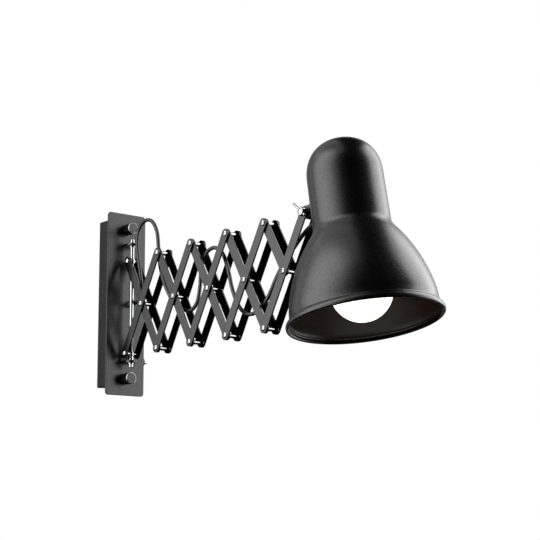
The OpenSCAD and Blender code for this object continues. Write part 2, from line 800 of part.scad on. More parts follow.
// A point between route points 1 and 2 of p, on a smooth curve through all four
function smooth(p, t) = 0.5 * (2 * p[1] + (p[2] - p[0]) * t
    + (2 * p[0] - 5 * p[1] + 4 * p[2] - p[3]) * t * t
    + (3 * p[1] - p[0] - 3 * p[2] + p[3]) * pow(t, 3));

// A smooth line through the route, with cord_steps steps between two of its points
function smooth_line(r) = let (n = len(r)) concat(
    [for (i = [0 : n - 2], s = [0 : cord_steps - 1])
        smooth([r[max(i - 1, 0)], r[i], r[i + 1], r[min(i + 2, n - 1)]], s / cord_steps)],
    [r[n - 1]]);

// One ring of the tube round point c, square to direction d
function cord_ring(c, d) = let (u = cross([0, 1, 0], d) / norm(cross([0, 1, 0], d)), v = cross(d, u))
    [for (s = [0 : cord_sides - 1]) let (a = 360 * s / cord_sides)
        c + cord_d / 2 * (cos(a) * u + sin(a) * v)];

// Two triangles of the tube's wall between rings i and i + 1
function cord_wall(i, s) = let (a = i * cord_sides, b = a + cord_sides, t = (s + 1) % cord_sides)
    [[a + s, b + s, b + t], [a + s, b + t, a + t]];

// The whole cord, from the box to the holder
module lamp_cord() {
    line = smooth_line(cord_route);
    last = len(line) - 1;
    color("#101011") polyhedron(
        points = [for (i = [0 : last]) each cord_ring(line[i], heading(line, i))],
        faces = concat(
            [[for (s = [0 : cord_sides - 1]) s]],
            [for (i = [0 : last - 1], s = [0 : cord_sides - 1]) each cord_wall(i, s)],
            [[for (s = [cord_sides - 1 : -1 : 0]) last * cord_sides + s]]));
}

wall_box();
face_plate();
lug(lug_high_z);  // upper_lug
lug(lug_low_z);  // lower_lug
pivot_rod();
rod_ring(lug_high_z + lug_t / 2, ring_t, ring_d, ring_d);  // upper_ring
rod_ring(lug_low_z - lug_t / 2 - ring_t, ring_t, ring_d, ring_d);  // lower_ring
union() {  // upper_washer
    rod_ring(lug_high_z - lug_t / 2 - washer_t, washer_t, ring_d, ring_d);
}
union() {  // thrust_bush
    rod_ring(lug_low_z + lug_t / 2, lug_drop - lug_t / 2 - sleeve_h / 2 - fit, bush_base_d, bush_top_d);
}
cover_studs();
thumb_nut(nut_z);  // upper_thumb_nut
thumb_nut(-nut_z);  // lower_thumb_nut
terminal_block();
cord_grip();
switch_body();
switch_nut();
switch_lever();
cross_pin(low_z, outer_y - fit, outer_end_y + fit);  // lower_cross_pin
cross_pin(high_z, inner_y - fit, inner_y + bar_t + fit);  // upper_cross_pin
rise_bar(1, left);  // rise_bar_1_left
rise_bar(1, right);  // rise_bar_1_right
rise_bar(2, left);  // rise_bar_2_left
rise_bar(2, right);  // rise_bar_2_right
rise_bar(3, left);  // rise_bar_3_left
rise_bar(3, right);  // rise_bar_3_right
rise_bar(4, left);  // rise_bar_4_left
rise_bar(4, right);  // rise_bar_4_right
rise_bar(5, left);  // rise_bar_5_left
rise_bar(5, right);  // rise_bar_5_right
fall_bar(1, left);  // fall_bar_1_left
fall_bar(1, right);  // fall_bar_1_right
fall_bar(2, left);  // fall_bar_2_left
fall_bar(2, right);  // fall_bar_2_right
fall_bar(3, left);  // fall_bar_3_left
fall_bar(3, right);  // fall_bar_3_right
fall_bar(4, left);  // fall_bar_4_left
fall_bar(4, right);  // fall_bar_4_right
fall_bar(5, left);  // fall_bar_5_left
fall_bar(5, right);  // fall_bar_5_right
rivets(1);  // rivets_1
rivets(2);  // rivets_2
rivets(3);  // rivets_3
rivets(4);  // rivets_4
rivets(5);  // rivets_5
clamp_screw();
tommy_bar();
clamp_nut();
head_bracket();
neck_bolt();
shade();
cord_bush();
holder_strap();
lampholder();
holder_nipple();
holder_nut();
bulb_glass();
bulb_cap();
lamp_cord();
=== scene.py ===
# %% [markdown]
# # An accordion wall lamp, piece by piece
#
# The real lamp is a slim steel box on the wall, a scissor arm of riveted flat bars, and a
# spun metal shade with a lit bulb. Its solids come ready from CAD, so every place and every
# joint is fixed. What is left to do is to give each piece its true edges and its finish.
# A scene can be built by hand or by code. Code was chosen here, because each shape on this
# lamp is a short formula: a turned profile, a flat outline with round edges, or a tube.

import bmesh
import bpy
import numpy as np
from mathutils import Matrix


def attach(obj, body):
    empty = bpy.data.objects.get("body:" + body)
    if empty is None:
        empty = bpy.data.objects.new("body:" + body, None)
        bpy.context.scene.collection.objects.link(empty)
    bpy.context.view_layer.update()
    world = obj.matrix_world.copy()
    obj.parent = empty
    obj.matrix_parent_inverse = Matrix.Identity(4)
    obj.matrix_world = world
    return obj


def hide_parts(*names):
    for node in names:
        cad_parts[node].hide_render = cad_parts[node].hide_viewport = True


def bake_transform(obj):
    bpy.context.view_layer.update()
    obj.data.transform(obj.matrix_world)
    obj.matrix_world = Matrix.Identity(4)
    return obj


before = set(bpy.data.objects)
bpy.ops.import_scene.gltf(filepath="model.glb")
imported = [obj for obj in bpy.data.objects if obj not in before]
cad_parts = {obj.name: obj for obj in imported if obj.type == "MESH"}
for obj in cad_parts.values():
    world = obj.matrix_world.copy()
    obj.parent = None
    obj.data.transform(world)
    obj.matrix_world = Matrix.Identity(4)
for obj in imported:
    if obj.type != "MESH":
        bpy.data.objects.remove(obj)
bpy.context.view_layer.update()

# %% [markdown]
# ## The camera
#
# The photograph was taken from below and from the shade's side, with a long lens. A camera
# can be placed by eye, or worked out from points whose places are known. Here the rivets and
# the corners of the face plate gave the place, the direction and the lens. The three angles
# below turn into three axes at right angles, which are the columns of the camera's matrix.

# %% Camera
picture_px, focal_px, sensor_mm = 540, 1320.1, 36.0
yaw, pitch, roll = np.radians([140.360, 10.769, -0.366])
stand = (1.3079, -0.8455, -0.2516)
forward = np.array([np.cos(pitch) * np.cos(yaw), np.cos(pitch) * np.sin(yaw), np.sin(pitch)])
level = np.array([np.sin(yaw), -np.cos(yaw), 0.0])
lift = np.cross(level, forward)
right_hand = np.cos(roll) * level + np.sin(roll) * lift
upright = -np.sin(roll) * level + np.cos(roll) * lift


def placed(name, data, across, up, back, place):
    """A camera or a lamp in the scene: its three axes and its place are the columns of its matrix."""
    thing = bpy.data.objects.new(name, data)
    bpy.context.scene.collection.objects.link(thing)
    matrix = Matrix.Identity(4)
    for row in range(3):
        matrix[row][:] = (across[row], up[row], back[row], place[row])
    thing.matrix_world = matrix
    return thing


camera = placed("camera", bpy.data.cameras.new("camera"), right_hand, upright, -forward, stand)
camera.data.sensor_width = sensor_mm
camera.data.lens = focal_px * sensor_mm / picture_px
bpy.context.scene.camera = camera
print("lens in mm:", round(camera.data.lens, 1))

# %% [markdown]
# ## From a grid of points to a piece
#
# Nearly everything on this lamp can be written as rows of points. A turned knob is the same
# profile at each angle, and a flat bar is the same outline at each height. One helper joins
# neighbours in such a grid into faces, merges the points that meet in a pole, and turns the
# faces outwards. Modelling each piece from a basic cylinder would leave its edges razor
# sharp, and it is the thin bright line on an edge that tells the eye that metal is real.

# %% From points to a mesh
MM = 0.001
MEET = 1e-6
CRISP = 38.0


def merge_points(mesh, flat_within=0.0):
    """Merges the points that meet. Where an angle in degrees is given, neighbouring triangles that are
    flat to each other within it become one face."""
    work = bmesh.new()
    work.from_mesh(mesh)
    bmesh.ops.remove_doubles(work, verts=work.verts, dist=MEET)
    if flat_within:
        angle = np.radians(flat_within)
        bmesh.ops.dissolve_limit(work, angle_limit=angle, verts=work.verts, edges=work.edges)
    work.to_mesh(mesh)
    work.free()


def grid_faces(grid):
    """Quads of one grid: each point is joined to the next one in its row and to the two below them. The
    triple products of their corners add up to the volume. Where that is negative, the quads are turned
    round."""
    rows, columns = grid.shape[:2]
    row, column = np.meshgrid(np.arange(rows - 1), np.arange(columns), indexing="ij")
    here = row * columns + column
    beside = row * columns + (column + 1) % columns
    quads = np.stack([here, beside, beside + columns, here + columns], -1).reshape(-1, 4)
    a, b, c, d = (grid.reshape(-1, 3)[quads[:, k]] for k in range(4))
    volume = (a * (np.cross(b, c) + np.cross(c, d))).sum()
    return quads[:, :: 1 if volume > 0 else -1]


def grid_mesh(name, grids, crisp=CRISP):
    """Joins grids of points, in mm, into one mesh. Each grid is rows by columns by 3, and wraps round
    its columns. A row whose points all meet becomes a pole. Edges that bend more than `crisp` degrees
    stay sharp."""
    points = np.vstack([grid.reshape(-1, 3) for grid in grids]) * MM
    firsts = np.cumsum([0] + [grid.size // 3 for grid in grids[:-1]])
    faces = np.vstack([grid_faces(grid) + first for grid, first in zip(grids, firsts)])
    mesh = bpy.data.meshes.new(name)
    mesh.from_pydata(points.tolist(), [], faces.tolist())
    merge_points(mesh)
    mesh.shade_smooth()
    mesh.set_sharp_from_angle(angle=np.radians(crisp))
    return mesh


# %% From a mesh to a piece
made = []


def in_scene(name, mesh, finish):
    """An object for a mesh, with one finish, in the scene."""
    mesh.materials.clear()
    mesh.materials.append(finish)
    thing = bpy.data.objects.new(name, mesh)
    bpy.context.scene.collection.objects.link(thing)
    return thing


def finish_piece(thing, body, stands_for=()):
    """Parents a piece to its body's empty, hides the CAD solids it stands for, and counts it as made."""
    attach(thing, body)
    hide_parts(*stands_for)
    made.append(thing.name)
    return thing


def grid_piece(name, grids, finish, body, stands_for=(), crisp=CRISP):
    """A finished piece from grids of points in mm."""
    return finish_piece(in_scene(name, grid_mesh(name, grids, crisp), finish), body, stands_for)


def face_middles(thing):
    """The middle of each face of a piece, in mm, as rows of three."""
    middles = np.empty(len(thing.data.polygons) * 3)
    thing.data.polygons.foreach_get("center", middles)
    return middles.reshape(-1, 3) / MM


def second_finish(thing, finish, chosen):
    """Gives the chosen faces of a piece a second finish, by a list of true or false for each face."""
    thing.data.materials.append(finish)
    thing.data.polygons.foreach_set("material_index", chosen.astype(np.int32))
    print(thing.name, "faces with", finish.name + ":", int(chosen.sum()))


# %% [markdown]
# ## The cord
#
# One black cord leaves a rubber grip in the face plate, makes a loop over the first cell, is
# woven through the arm and goes into the shade's neck. It is free between the bars, so it
# has to bend when the arm folds. It is cut into stretches that meet end to end, each running
# between two bodies that share a joint. A Bezier curve with a round bevel would draw the
# tube too, but a tube made of rings keeps its points where they are wanted.

# %% Cord route
cord_d, grip_y, steps_per_point = 4.4, 5.5, 6
route = np.array(
    [[12, 5.5, 0], [22, 5.5, 0], [32, 5.5, 0], [41.5, 4.8, 2.1], [48.9, 3, 8.4], [52.4, 1, 18], [52, 0, 28],
     [48.8, 0, 42], [45, 0, 58], [43.9, 0, 74], [49, 0, 87.4], [61.8, 0, 93.4], [75, 0, 89], [84.5, 0, 75],
     [87.8, 0, 56], [91.5, 0, 34], [101, 0, 11.5], [117, 0, -9], [136, 0, -20.8], [151, 0, -23.9],
     [162.3, 0, -16.5], [167.5, 0, 0], [170, 0, 21], [178.5, 0, 35.2], [193, 0, 39.3], [207.5, 0, 31],
     [217, 0, 13], [225, 0, -11], [236.5, 0, -31], [251, 0, -40.5], [266, 0, -39.5], [283, 0, -28.5],
     [301, 0, -5], [320, 0, 13], [338, 0, 27.5], [351, 0, 35], [361.6, 0, 39], [368, 0, 40.1],
     [373.2, 0.1, 41], [378.3, 2.2, 43.4], [381.2, 6.6, 49.6], [380.5, 10.4, 59], [380.1, 10.9, 69.1],
     [382.2, 9.3, 78.8], [389.3, 5.4, 84.2], [397.4, 1.7, 81.6], [402.1, 0.1, 74.3], [403.3, 0, 67.5]]
)


def smooth_path(points, steps):
    """A smooth line through all the points: each gap is a cubic whose ends lean towards the neighbours
    beyond it, cut into the given number of steps."""
    p = np.vstack([points[:1], points, points[-1:]])
    t = np.linspace(0, 1, steps, endpoint=False)[None, :, None]
    a, b, c, d = (p[k : len(p) - 3 + k, None, :] for k in range(4))
    square, cube = 2 * a - 5 * b + 4 * c - d, 3 * b - a - 3 * c + d
    curve = 0.5 * (2 * b + (c - a) * t + square * t**2 + cube * t**3)
    return np.vstack([curve.reshape(-1, 3), points[-1:]])


def path_length(path):
    """The length of a line of points: the sum of its steps."""
    return float(np.linalg.norm(np.diff(path, axis=0), axis=1).sum())


whole_path = smooth_path(route, steps_per_point)
print("cord length in mm:", round(path_length(whole_path)))

# %% Cord rings


def rings_along(path, radius, sides=16):
    """Rings of points round a path. Each ring stands square to the way the path runs, with its first
    point kept away from the Y axis, which this path never follows."""
    way = np.gradient(path, axis=0)
    way /= np.linalg.norm(way, axis=1, keepdims=True)
    side = np.cross([0.0, 1.0, 0.0], way)
    side /= np.linalg.norm(side, axis=1, keepdims=True)
    other = np.cross(way, side)
    angle = np.linspace(0, 2 * np.pi, sides, endpoint=False)[None, :, None]
    return path[:, None] + radius * (np.cos(angle) * side[:, None] + np.sin(angle) * other[:, None])


def closed_tube(path, rings):
    """Rings with a row of equal points at each end of their path, so that the ends close in poles."""
    near, far = (np.repeat(path[k][None, None], rings.shape[1], 1) for k in (0, -1))
    return np.concatenate([near, rings, far])


whole_rings = rings_along(whole_path, cord_d / 2)
print("cord rings:", len(whole_rings))

# %% [markdown]
# ## Finishes: how they are built
#
# A finish that several materials share is a node group with named inputs, so it is built
# once and gets its own values in each material. The first group is painted or moulded skin:
# a very fine grain in the surface, and a slow change in tone and gloss, as a powder coat has.
# The second is plated metal, which is smooth, with faint cloudy places that reflect less
# sharply. Painting such marks on an image would work as well, but noise in the object's own
# space needs no image, and it follows each piece wherever it moves.
#
# In a real powder coat some grains glitter and others stay dull. The first group's fourth
# output makes them so. It feeds Metallic: a metal takes its reflection from its colour, so a
# nearly black one gives almost none back, and the more of it a grain holds, the duller it is.
# The specular level would be the plainer control, but it can only be one number for a whole
# surface, because a model that leaves Blender doesn't carry an image for it.

# %% Node helpers


def add_node(tree, kind, inputs=(), **settings):
    """Adds one node. A value of the inputs that is a socket is linked, and any other is set."""
    node = tree.nodes.new(kind)
    for key, value in settings.items():
        setattr(node, key, value)
    for key, value in dict(inputs).items():
        if isinstance(value, bpy.types.NodeSocket):
            tree.links.new(value, node.inputs[key])
        else:
            node.inputs[key].default_value = value
    return node


def noise(tree, place, scale, detail, rough):
    """Soft noise in space, with about `scale` bumps a metre."""
    inputs = {"Vector": place, "Scale": scale, "Detail": detail, "Roughness": rough}
    return add_node(tree, "ShaderNodeTexNoise", inputs).outputs["Fac"]


def spread(tree, value, low, high, to_low, to_high):
    """Stretches a value from one span to another, and holds it within the second."""
    inputs = {"Value": value, "From Min": low, "From Max": high, "To Min": to_low, "To Max": to_high}
    return add_node(tree, "ShaderNodeMapRange", inputs).outputs[0]


def between(tree, share, first, second):
    """A colour between two others, by a share."""
    inputs = {"Factor": share, 6: first, 7: second}
    return add_node(tree, "ShaderNodeMix", inputs, data_type="RGBA").outputs[2]


def reckon(tree, operation, *numbers):
    """One step of arithmetic on values."""
    return add_node(tree, "ShaderNodeMath", dict(enumerate(numbers)), operation=operation).outputs[0]


def raised(tree, height, distance):
    """A normal that leans as if the height stood out by a distance in metres."""
    inputs = {"Height": height, "Strength": 1.0, "Distance": distance}
    return add_node(tree, "ShaderNodeBump", inputs).outputs[0]


# %% Group helpers
FLOAT, COLOUR, VECTOR = "NodeSocketFloat", "NodeSocketColor", "NodeSocketVector"
mid_grey = (0.2, 0.2, 0.2, 1)


def new_group(name, inputs, outputs):
    """An empty node group with these sockets. Returns its tree and the sockets that its inputs give
    inside."""
    tree = bpy.data.node_groups.new(name, "ShaderNodeTree")
    for label, kind, value in inputs:
        socket = tree.interface.new_socket(name=label, in_out="INPUT", socket_type=kind)
        if value is not None:
            socket.default_value = value
    for label, kind in outputs:
        tree.interface.new_socket(name=label, in_out="OUTPUT", socket_type=kind)
    return tree, tree.nodes.new("NodeGroupInput").outputs


def close_group(tree, **results):
    """Links what a group worked out to its outputs, by name."""
    ending = tree.nodes.new("NodeGroupOutput")
    for label, socket in results.items():
        tree.links.new(socket, ending.inputs[label])
    print("group", tree.name, "gives", ", ".join(results))


# %% Group for coated skins
coat, given = new_group(
    "Coated skin",
    [("Vector", VECTOR, None), ("Dark colour", COLOUR, mid_grey), ("Light colour", COLOUR, mid_grey),
     ("Grains per metre", FLOAT, 1500.0), ("Grain height", FLOAT, 0.00005), ("Gloss low", FLOAT, 0.35),
     ("Gloss high", FLOAT, 0.45), ("Dullest grain", FLOAT, 0.0)],
    [("Colour", COLOUR), ("Roughness", FLOAT), ("Normal", VECTOR), ("Dullness", FLOAT)],
)
grains = noise(coat, given["Vector"], given["Grains per metre"], 1.5, 0.6)
clouds = noise(coat, given["Vector"], 38.0, 3.0, 0.55)
mottled = spread(coat, reckon(coat, "MULTIPLY", grains, clouds), 0.1, 0.42, 0.0, 1.0)
close_group(
    coat,
    Colour=between(coat, mottled, given["Dark colour"], given["Light colour"]),
    Roughness=spread(coat, mottled, 0.0, 1.0, given["Gloss low"], given["Gloss high"]),
    Normal=raised(coat, grains, given["Grain height"]),
    Dullness=spread(coat, grains, 0.3, 0.7, given["Dullest grain"], 0.0),
)

# %% Group for plated metal
plating, given = new_group(
    "Plated metal",
    [("Vector", VECTOR, None), ("Clear colour", COLOUR, mid_grey), ("Dull colour", COLOUR, mid_grey),
     ("Clouds per metre", FLOAT, 160.0), ("Wave height", FLOAT, 0.00001), ("Polish low", FLOAT, 0.05),
     ("Polish high", FLOAT, 0.15)],
    [("Colour", COLOUR), ("Roughness", FLOAT), ("Normal", VECTOR)],
)
cloud = noise(plating, given["Vector"], given["Clouds per metre"], 4.0, 0.6)
clouded = spread(plating, cloud, 0.35, 0.7, 0.0, 1.0)
close_group(
    plating,
    Colour=between(plating, clouded, given["Clear colour"], given["Dull colour"]),
    Roughness=spread(plating, clouded, 0.0, 1.0, given["Polish low"], given["Polish high"]),
    Normal=raised(plating, cloud, given["Wave height"]),
)

# %% Material maker


def material(name, group, values, **plain):
    """A material whose skin comes from a group with its own values. What is the same all over the
    surface is set on the shader itself, by its socket's name with spaces as underscores."""
    finish = bpy.data.materials.new(name)
    finish.use_nodes = True
    tree = finish.node_tree
    shader = tree.nodes["Principled BSDF"]
    place = tree.nodes.new("ShaderNodeTexCoord")
    skin = add_node(tree, "ShaderNodeGroup", node_tree=group)
    tree.links.new(place.outputs["Object"], skin.inputs["Vector"])
    for key, value in values.items():
        skin.inputs[key].default_value = value
    fed = {"Colour": "Base Color", "Roughness": "Roughness", "Normal": "Normal"}
    if values.get("Dullest grain"):
        fed["Dullness"] = "Metallic"
    for output, socket in fed.items():
        tree.links.new(skin.outputs[output], shader.inputs[socket])
    for key, value in plain.items():
        shader.inputs[key.replace("_", " ")].default_value = value
    return finish


def coated(name, dark, light, grains_per_metre, height, gloss, dullest=0.0, **plain):
    """Paint, rubber or plastic: two tones of one colour, a grain, and a low and a high gloss value.
    `dullest` is the share of their reflection that the dullest grains lose."""
    values = {"Dark colour": (*dark, 1), "Light colour": (*light, 1), "Grain height": height,
              "Grains per metre": grains_per_metre, "Dullest grain": dullest,
              "Gloss low": gloss[0], "Gloss high": gloss[1]}
    return material(name, coat, values, **plain)


def plated(name, clear, dull, clouds_per_metre, height, polish):
    """Bare or plated metal: a clear and a dull tone, in clouds of one size, and a low and a high polish
    value."""
    values = {"Clear colour": (*clear, 1), "Dull colour": (*dull, 1), "Clouds per metre": clouds_per_metre,
              "Wave height": height, "Polish low": polish[0], "Polish high": polish[1]}
    return material(name, plating, values, Metallic=1.0)


# %% [markdown]
# ## The finishes of this lamp
#
# The shade, box and plate have a fine textured black powder coat. The box's copy of it has
# less gloss, which is painted shade on the box's sides. The bars have a smoother satin black,
# and the faces towards the middle of the arm get a matt copy of it with no specular
# reflection, which is painted shade. The shade's inside gets a brown copy of its paint with
# less gloss: the lower gloss is painted shade, and the brown is painted warm light from the
# bulb. The rod, rivets and screws are chrome plated. Inside are zinc, brass and nickel, a
# glazed white lampholder and plain plastics. A lighter black under weaker lamps would look
# flat. This one is very dark, and what shows is mostly the studio lamps in its gloss, so the
# gloss values matter more than the colour.

# %% Painted finishes


def grey(tone):
    """A colour without a hue."""
    return (tone, tone, tone)


paint = (grey(0.00008), grey(0.0003))
powder_black = coated("powder_black", *paint, 800.0, 0.00003, (0.27, 0.33), 0.32, Specular_IOR_Level=0.62)
# The box's paint is a copy of the powder coat with a lower specular level and duller grains, which is
# painted shade on the box's sides.
box_black_painted_shade = coated("box_black_painted_shade", *paint, 800.0, 0.00004, (0.24, 0.3), 0.43, Specular_IOR_Level=0.23)
shade_black = coated("shade_black", *paint, 800.0, 0.00004, (0.26, 0.31), 0.33, Specular_IOR_Level=0.6)
# The shade's inside: a brown copy of the shade's paint with a lower specular level. The lower gloss is
# painted shade, and the brown is painted warm light from the bulb.
shade_inside_painted_shade = coated(
    "shade_inside_painted_shade", (0.006, 0.0028, 0.0018), (0.01, 0.0048, 0.003), 800.0, 0.00005, (0.36, 0.44),
    Specular_IOR_Level=0.2,
)
bar_black = coated("bar_black", grey(0.0002), grey(0.0005), 900.0, 0.00001, (0.24, 0.3))
# The bars' inner faces: a matt copy of the bar paint with no specular reflection, which is painted shade.
bar_inner_painted_shade = coated(
    "bar_inner_painted_shade", grey(0.0004), grey(0.0008), 900.0, 0.00002, (0.5, 0.6), Specular_IOR_Level=0.0
)
knob_black = coated("knob_black", grey(0.001), grey(0.002), 1200.0, 0.00002, (0.28, 0.36))
print("painted finishes:", len(bpy.data.materials))

# %% Other finishes
rubber_black = coated("rubber_black", grey(0.008), grey(0.014), 1100.0, 0.00004, (0.5, 0.62))
cord_black = coated("cord_black", grey(0.0015), grey(0.003), 1300.0, 0.00002, (0.3, 0.36))
case_black = coated("case_black", (0.012, 0.012, 0.013), (0.02, 0.02, 0.021), 700.0, 0.00002, (0.38, 0.48))
glazed_white = coated("glazed_white", (0.74, 0.72, 0.66), (0.8, 0.78, 0.73), 300.0, 0.00001, (0.12, 0.2))
block_white = coated("block_white", (0.7, 0.68, 0.62), (0.76, 0.74, 0.68), 700.0, 0.00002, (0.4, 0.5))
lit_glass = coated(
    "lit_glass", (0.9, 0.87, 0.8), (0.95, 0.92, 0.86), 60.0, 0.0, (0.1, 0.14),
    Emission_Color=(1.0, 0.93, 0.82, 1), Emission_Strength=1.25,
)
chrome = plated("chrome", (0.36, 0.364, 0.368), (0.3, 0.303, 0.306), 160.0, 0.000004, (0.06, 0.11))
turned_edge = plated(
    "turned_edge", (0.42, 0.424, 0.428), (0.36, 0.363, 0.366), 500.0, 0.00001, (0.34, 0.46)
)
zinc = plated("zinc", (0.66, 0.67, 0.69), (0.52, 0.53, 0.55), 420.0, 0.00002, (0.26, 0.42))
nickel = plated("nickel", (0.74, 0.72, 0.67), (0.66, 0.64, 0.6), 240.0, 0.000006, (0.14, 0.24))
brass = plated("brass", (0.86, 0.66, 0.32), (0.68, 0.5, 0.24), 300.0, 0.00001, (0.2, 0.34))
print("all finishes:", len(bpy.data.materials))

# %% [markdown]
# ## Laying the cord
#
# The rings are cut where the cord passes a bar, and each stretch is a closed tube that runs
# from the body before it to the body behind it. A stretch whose two bodies are the same moves
# with that body, so the high loop beside the plate only swings with the arm, because it would
# fall against the rod and the upper knob if it leaned with the first bars. A stretch between
# two different bodies is only set in place. One tube for the whole cord would be simpler, but
# a piece can only bend between two bodies that share a joint.

# %% Cord stretches
cuts = [0, 5, 11, 15, 18, 25, 30, 34, 47]
chain = ["wall_part", "swing_pin", "swing_pin", "rise_1", "fall_2", "rise_3", "fall_4", "rise_5", "head"]
grip_bend_from, grip_bend_to = np.array([33.0, grip_y, 0.0]), np.array([49.0, 3.0, 9.0])
for k, (before, behind) in enumerate(zip(chain, chain[1:])):
    stretch_of = slice(cuts[k] * steps_per_point, cuts[k + 1] * steps_per_point + 1)
    path = whole_path[stretch_of]
    tube = closed_tube(path, whole_rings[stretch_of])
    stretch = in_scene(f"cord_{k + 1}", grid_mesh(f"cord_{k + 1}", [tube]), cord_black)
    start, end = (grip_bend_from, grip_bend_to) if k == 0 else (path[0], path[-1])
    if before == behind:
        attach(stretch, before)
    else:
        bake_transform(stretch)
    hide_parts("lamp_cord")

# %% [markdown]
# ## Turned pieces and flat pieces
#
# Turned metal has a profile that runs from its axis, out along one face, over the rim and
# back to the axis. Real corners are never knife sharp, so each corner of the profile becomes
# a small round, with one more point just beyond it on each side. Those extra points keep the
# flat faces flat when the shading is smoothed. A bevel modifier gives such rounds too, but
# on a profile they cost nothing and stay even all round. Flat sheet pieces use the same idea
# with an outline in place of a circle.

# %% Rounding a profile


def soften(points, r=0.3, hold=0.3, steps=4):
    """Rounds each inner corner of a line of points. The round runs from r before the corner to r after
    it along a curve pulled towards the corner, and a holding point lies `hold` beyond each end of
    it."""
    p = np.asarray(points, float)
    corner, to_a, to_b = p[1:-1], p[:-2] - p[1:-1], p[2:] - p[1:-1]
    a_long, b_long = (np.linalg.norm(v, axis=1, keepdims=True) for v in (to_a, to_b))
    most, most_held = 0.42, 0.48
    reach = np.minimum(r, most * np.minimum(a_long, b_long))
    t = np.linspace(0, 1, steps + 1)[:, None, None]
    start, end = corner + to_a / a_long * reach, corner + to_b / b_long * reach
    bend = (1 - t) ** 2 * start + 2 * t * (1 - t) * corner + t**2 * end
    before = corner + to_a / a_long * np.minimum(reach + hold, most_held * a_long)
    after = corner + to_b / b_long * np.minimum(reach + hold, most_held * b_long)
    rows = np.concatenate([before[None], bend, after[None]]).transpose(1, 0, 2).reshape(-1, 2)
    return np.vstack([p[:1], rows, p[-1:]])


print("points for each rounded corner:", len(soften([[0, 0], [5, 0], [5, 5]])) - 2)

# %% Turning a profile


def turned(profile, sides=64):
    """Turns a profile of radius and height about the axis: x is the radius times the cosine, y the
    radius times the sine, and z the height."""
    radius, height = np.asarray(profile, float).T[..., None]
    angle = np.linspace(0, 2 * np.pi, sides, endpoint=False)
    return np.stack([radius * np.cos(angle), radius * np.sin(angle), height + 0 * angle], -1)


def along_x(grid, at=(0, 0, 0)):
    """Lays a grid's own axis along X, and moves it to a place."""
    return grid[..., [2, 0, 1]] + np.asarray(at, float)


def along_y(grid, at=(0, 0, 0)):
    """Lays a grid's own axis along Y, and moves it to a place."""
    return grid[..., [1, 2, 0]] + np.asarray(at, float)


def along_z(grid, at=(0, 0, 0)):
    """Keeps a grid's own axis along Z, and moves it to a place."""
    return grid + np.asarray(at, float)


# %% Outlines


def hexagon(width, sides_each=8, cut=0.15):
    """Outline of a nut: the distance from the middle to a straight side is the same at each of six
    angles, and the corners are cut by a circle a little smaller than the corners' own."""
    angle = np.linspace(0, 2 * np.pi, 6 * sides_each, endpoint=False)
    off = (angle + np.pi / 6) % (np.pi / 3) - np.pi / 6
    reach = np.minimum(width / 2 * np.cos(np.pi / 6) / np.cos(off), width / 2 - cut)
    return np.stack([reach * np.cos(angle), reach * np.sin(angle)], -1)


def stadium(x0, x1, radius, steps=14, between_ends=10):
    """Outline of a flat bar: a half circle at each end and straight sides with a few points along them."""
    half = np.linspace(-np.pi / 2, np.pi / 2, steps)
    far = np.stack([x1 + radius * np.cos(half), radius * np.sin(half)], -1)
    near = np.stack([x0 - radius * np.cos(half), -radius * np.sin(half)], -1)
    line = np.linspace(x1, x0, between_ends + 2)[1:-1]
    top = np.stack([line, np.full(between_ends, radius)], -1)
    return np.vstack([far, top, near, top[::-1] * [1, -1]])


def round_rectangle(wide, high, r, steps=8, along=10):
    """Outline of a sheet with round corners: four quarter circles with straight runs between them."""
    quarter = np.linspace(0, np.pi / 2, steps)
    arcs = []
    for turn, (sx, sy) in enumerate([(1, 1), (-1, 1), (-1, -1), (1, -1)]):
        angle = quarter + turn * np.pi / 2
        middle = np.array([sx * (wide / 2 - r), sy * (high / 2 - r)])
        arcs.append(middle + r * np.stack([np.cos(angle), np.sin(angle)], -1))
    share = np.linspace(0, 1, along + 2)[1:-1, None]
    rows = []
    for arc, following in zip(arcs, arcs[1:] + arcs[:1]):
        rows += [arc, arc[-1] * (1 - share) + following[0] * share]
    return np.vstack(rows)


print("points round a nut, a bar and a plate:",
      len(hexagon(9)), len(stadium(0, 9, 5)), len(round_rectangle(9, 9, 1)))

# %% From an outline to a sheet


def sheet_form(outline, low, high, r=0.3, hold=0.35, steps=4):
    """A flat piece with round edges: the outline moves in by `inset` at each height of an edge profile,
    along the normal of the outline. Its two faces close in a point at the outline's middle."""
    way = np.roll(outline, -1, 0) - np.roll(outline, 1, 0)
    inward = np.stack([-way[:, 1], way[:, 0]], -1) / np.linalg.norm(way, axis=1, keepdims=True)
    middle = outline.mean(0)
    inward *= np.sign(((middle - outline) * inward).sum())
    turn = np.linspace(0, np.pi / 2, steps + 1)
    inset = np.concatenate([[r + hold], r * (1 - np.sin(turn))])
    height = np.concatenate([[high], high - r * (1 - np.cos(turn))])
    inset = np.concatenate([inset, inset[::-1]])
    height = np.concatenate([height, (low + high - height)[::-1]])
    flat = outline[None] + inset[:, None, None] * inward[None]
    rows = np.concatenate([flat, np.broadcast_to(height[:, None, None], (*flat.shape[:2], 1))], -1)
    top, foot = (np.broadcast_to([*middle, z], (1, len(outline), 3)) for z in (high, low))
    return np.concatenate([top, rows, foot])


# %% Pieces that come from their CAD solids


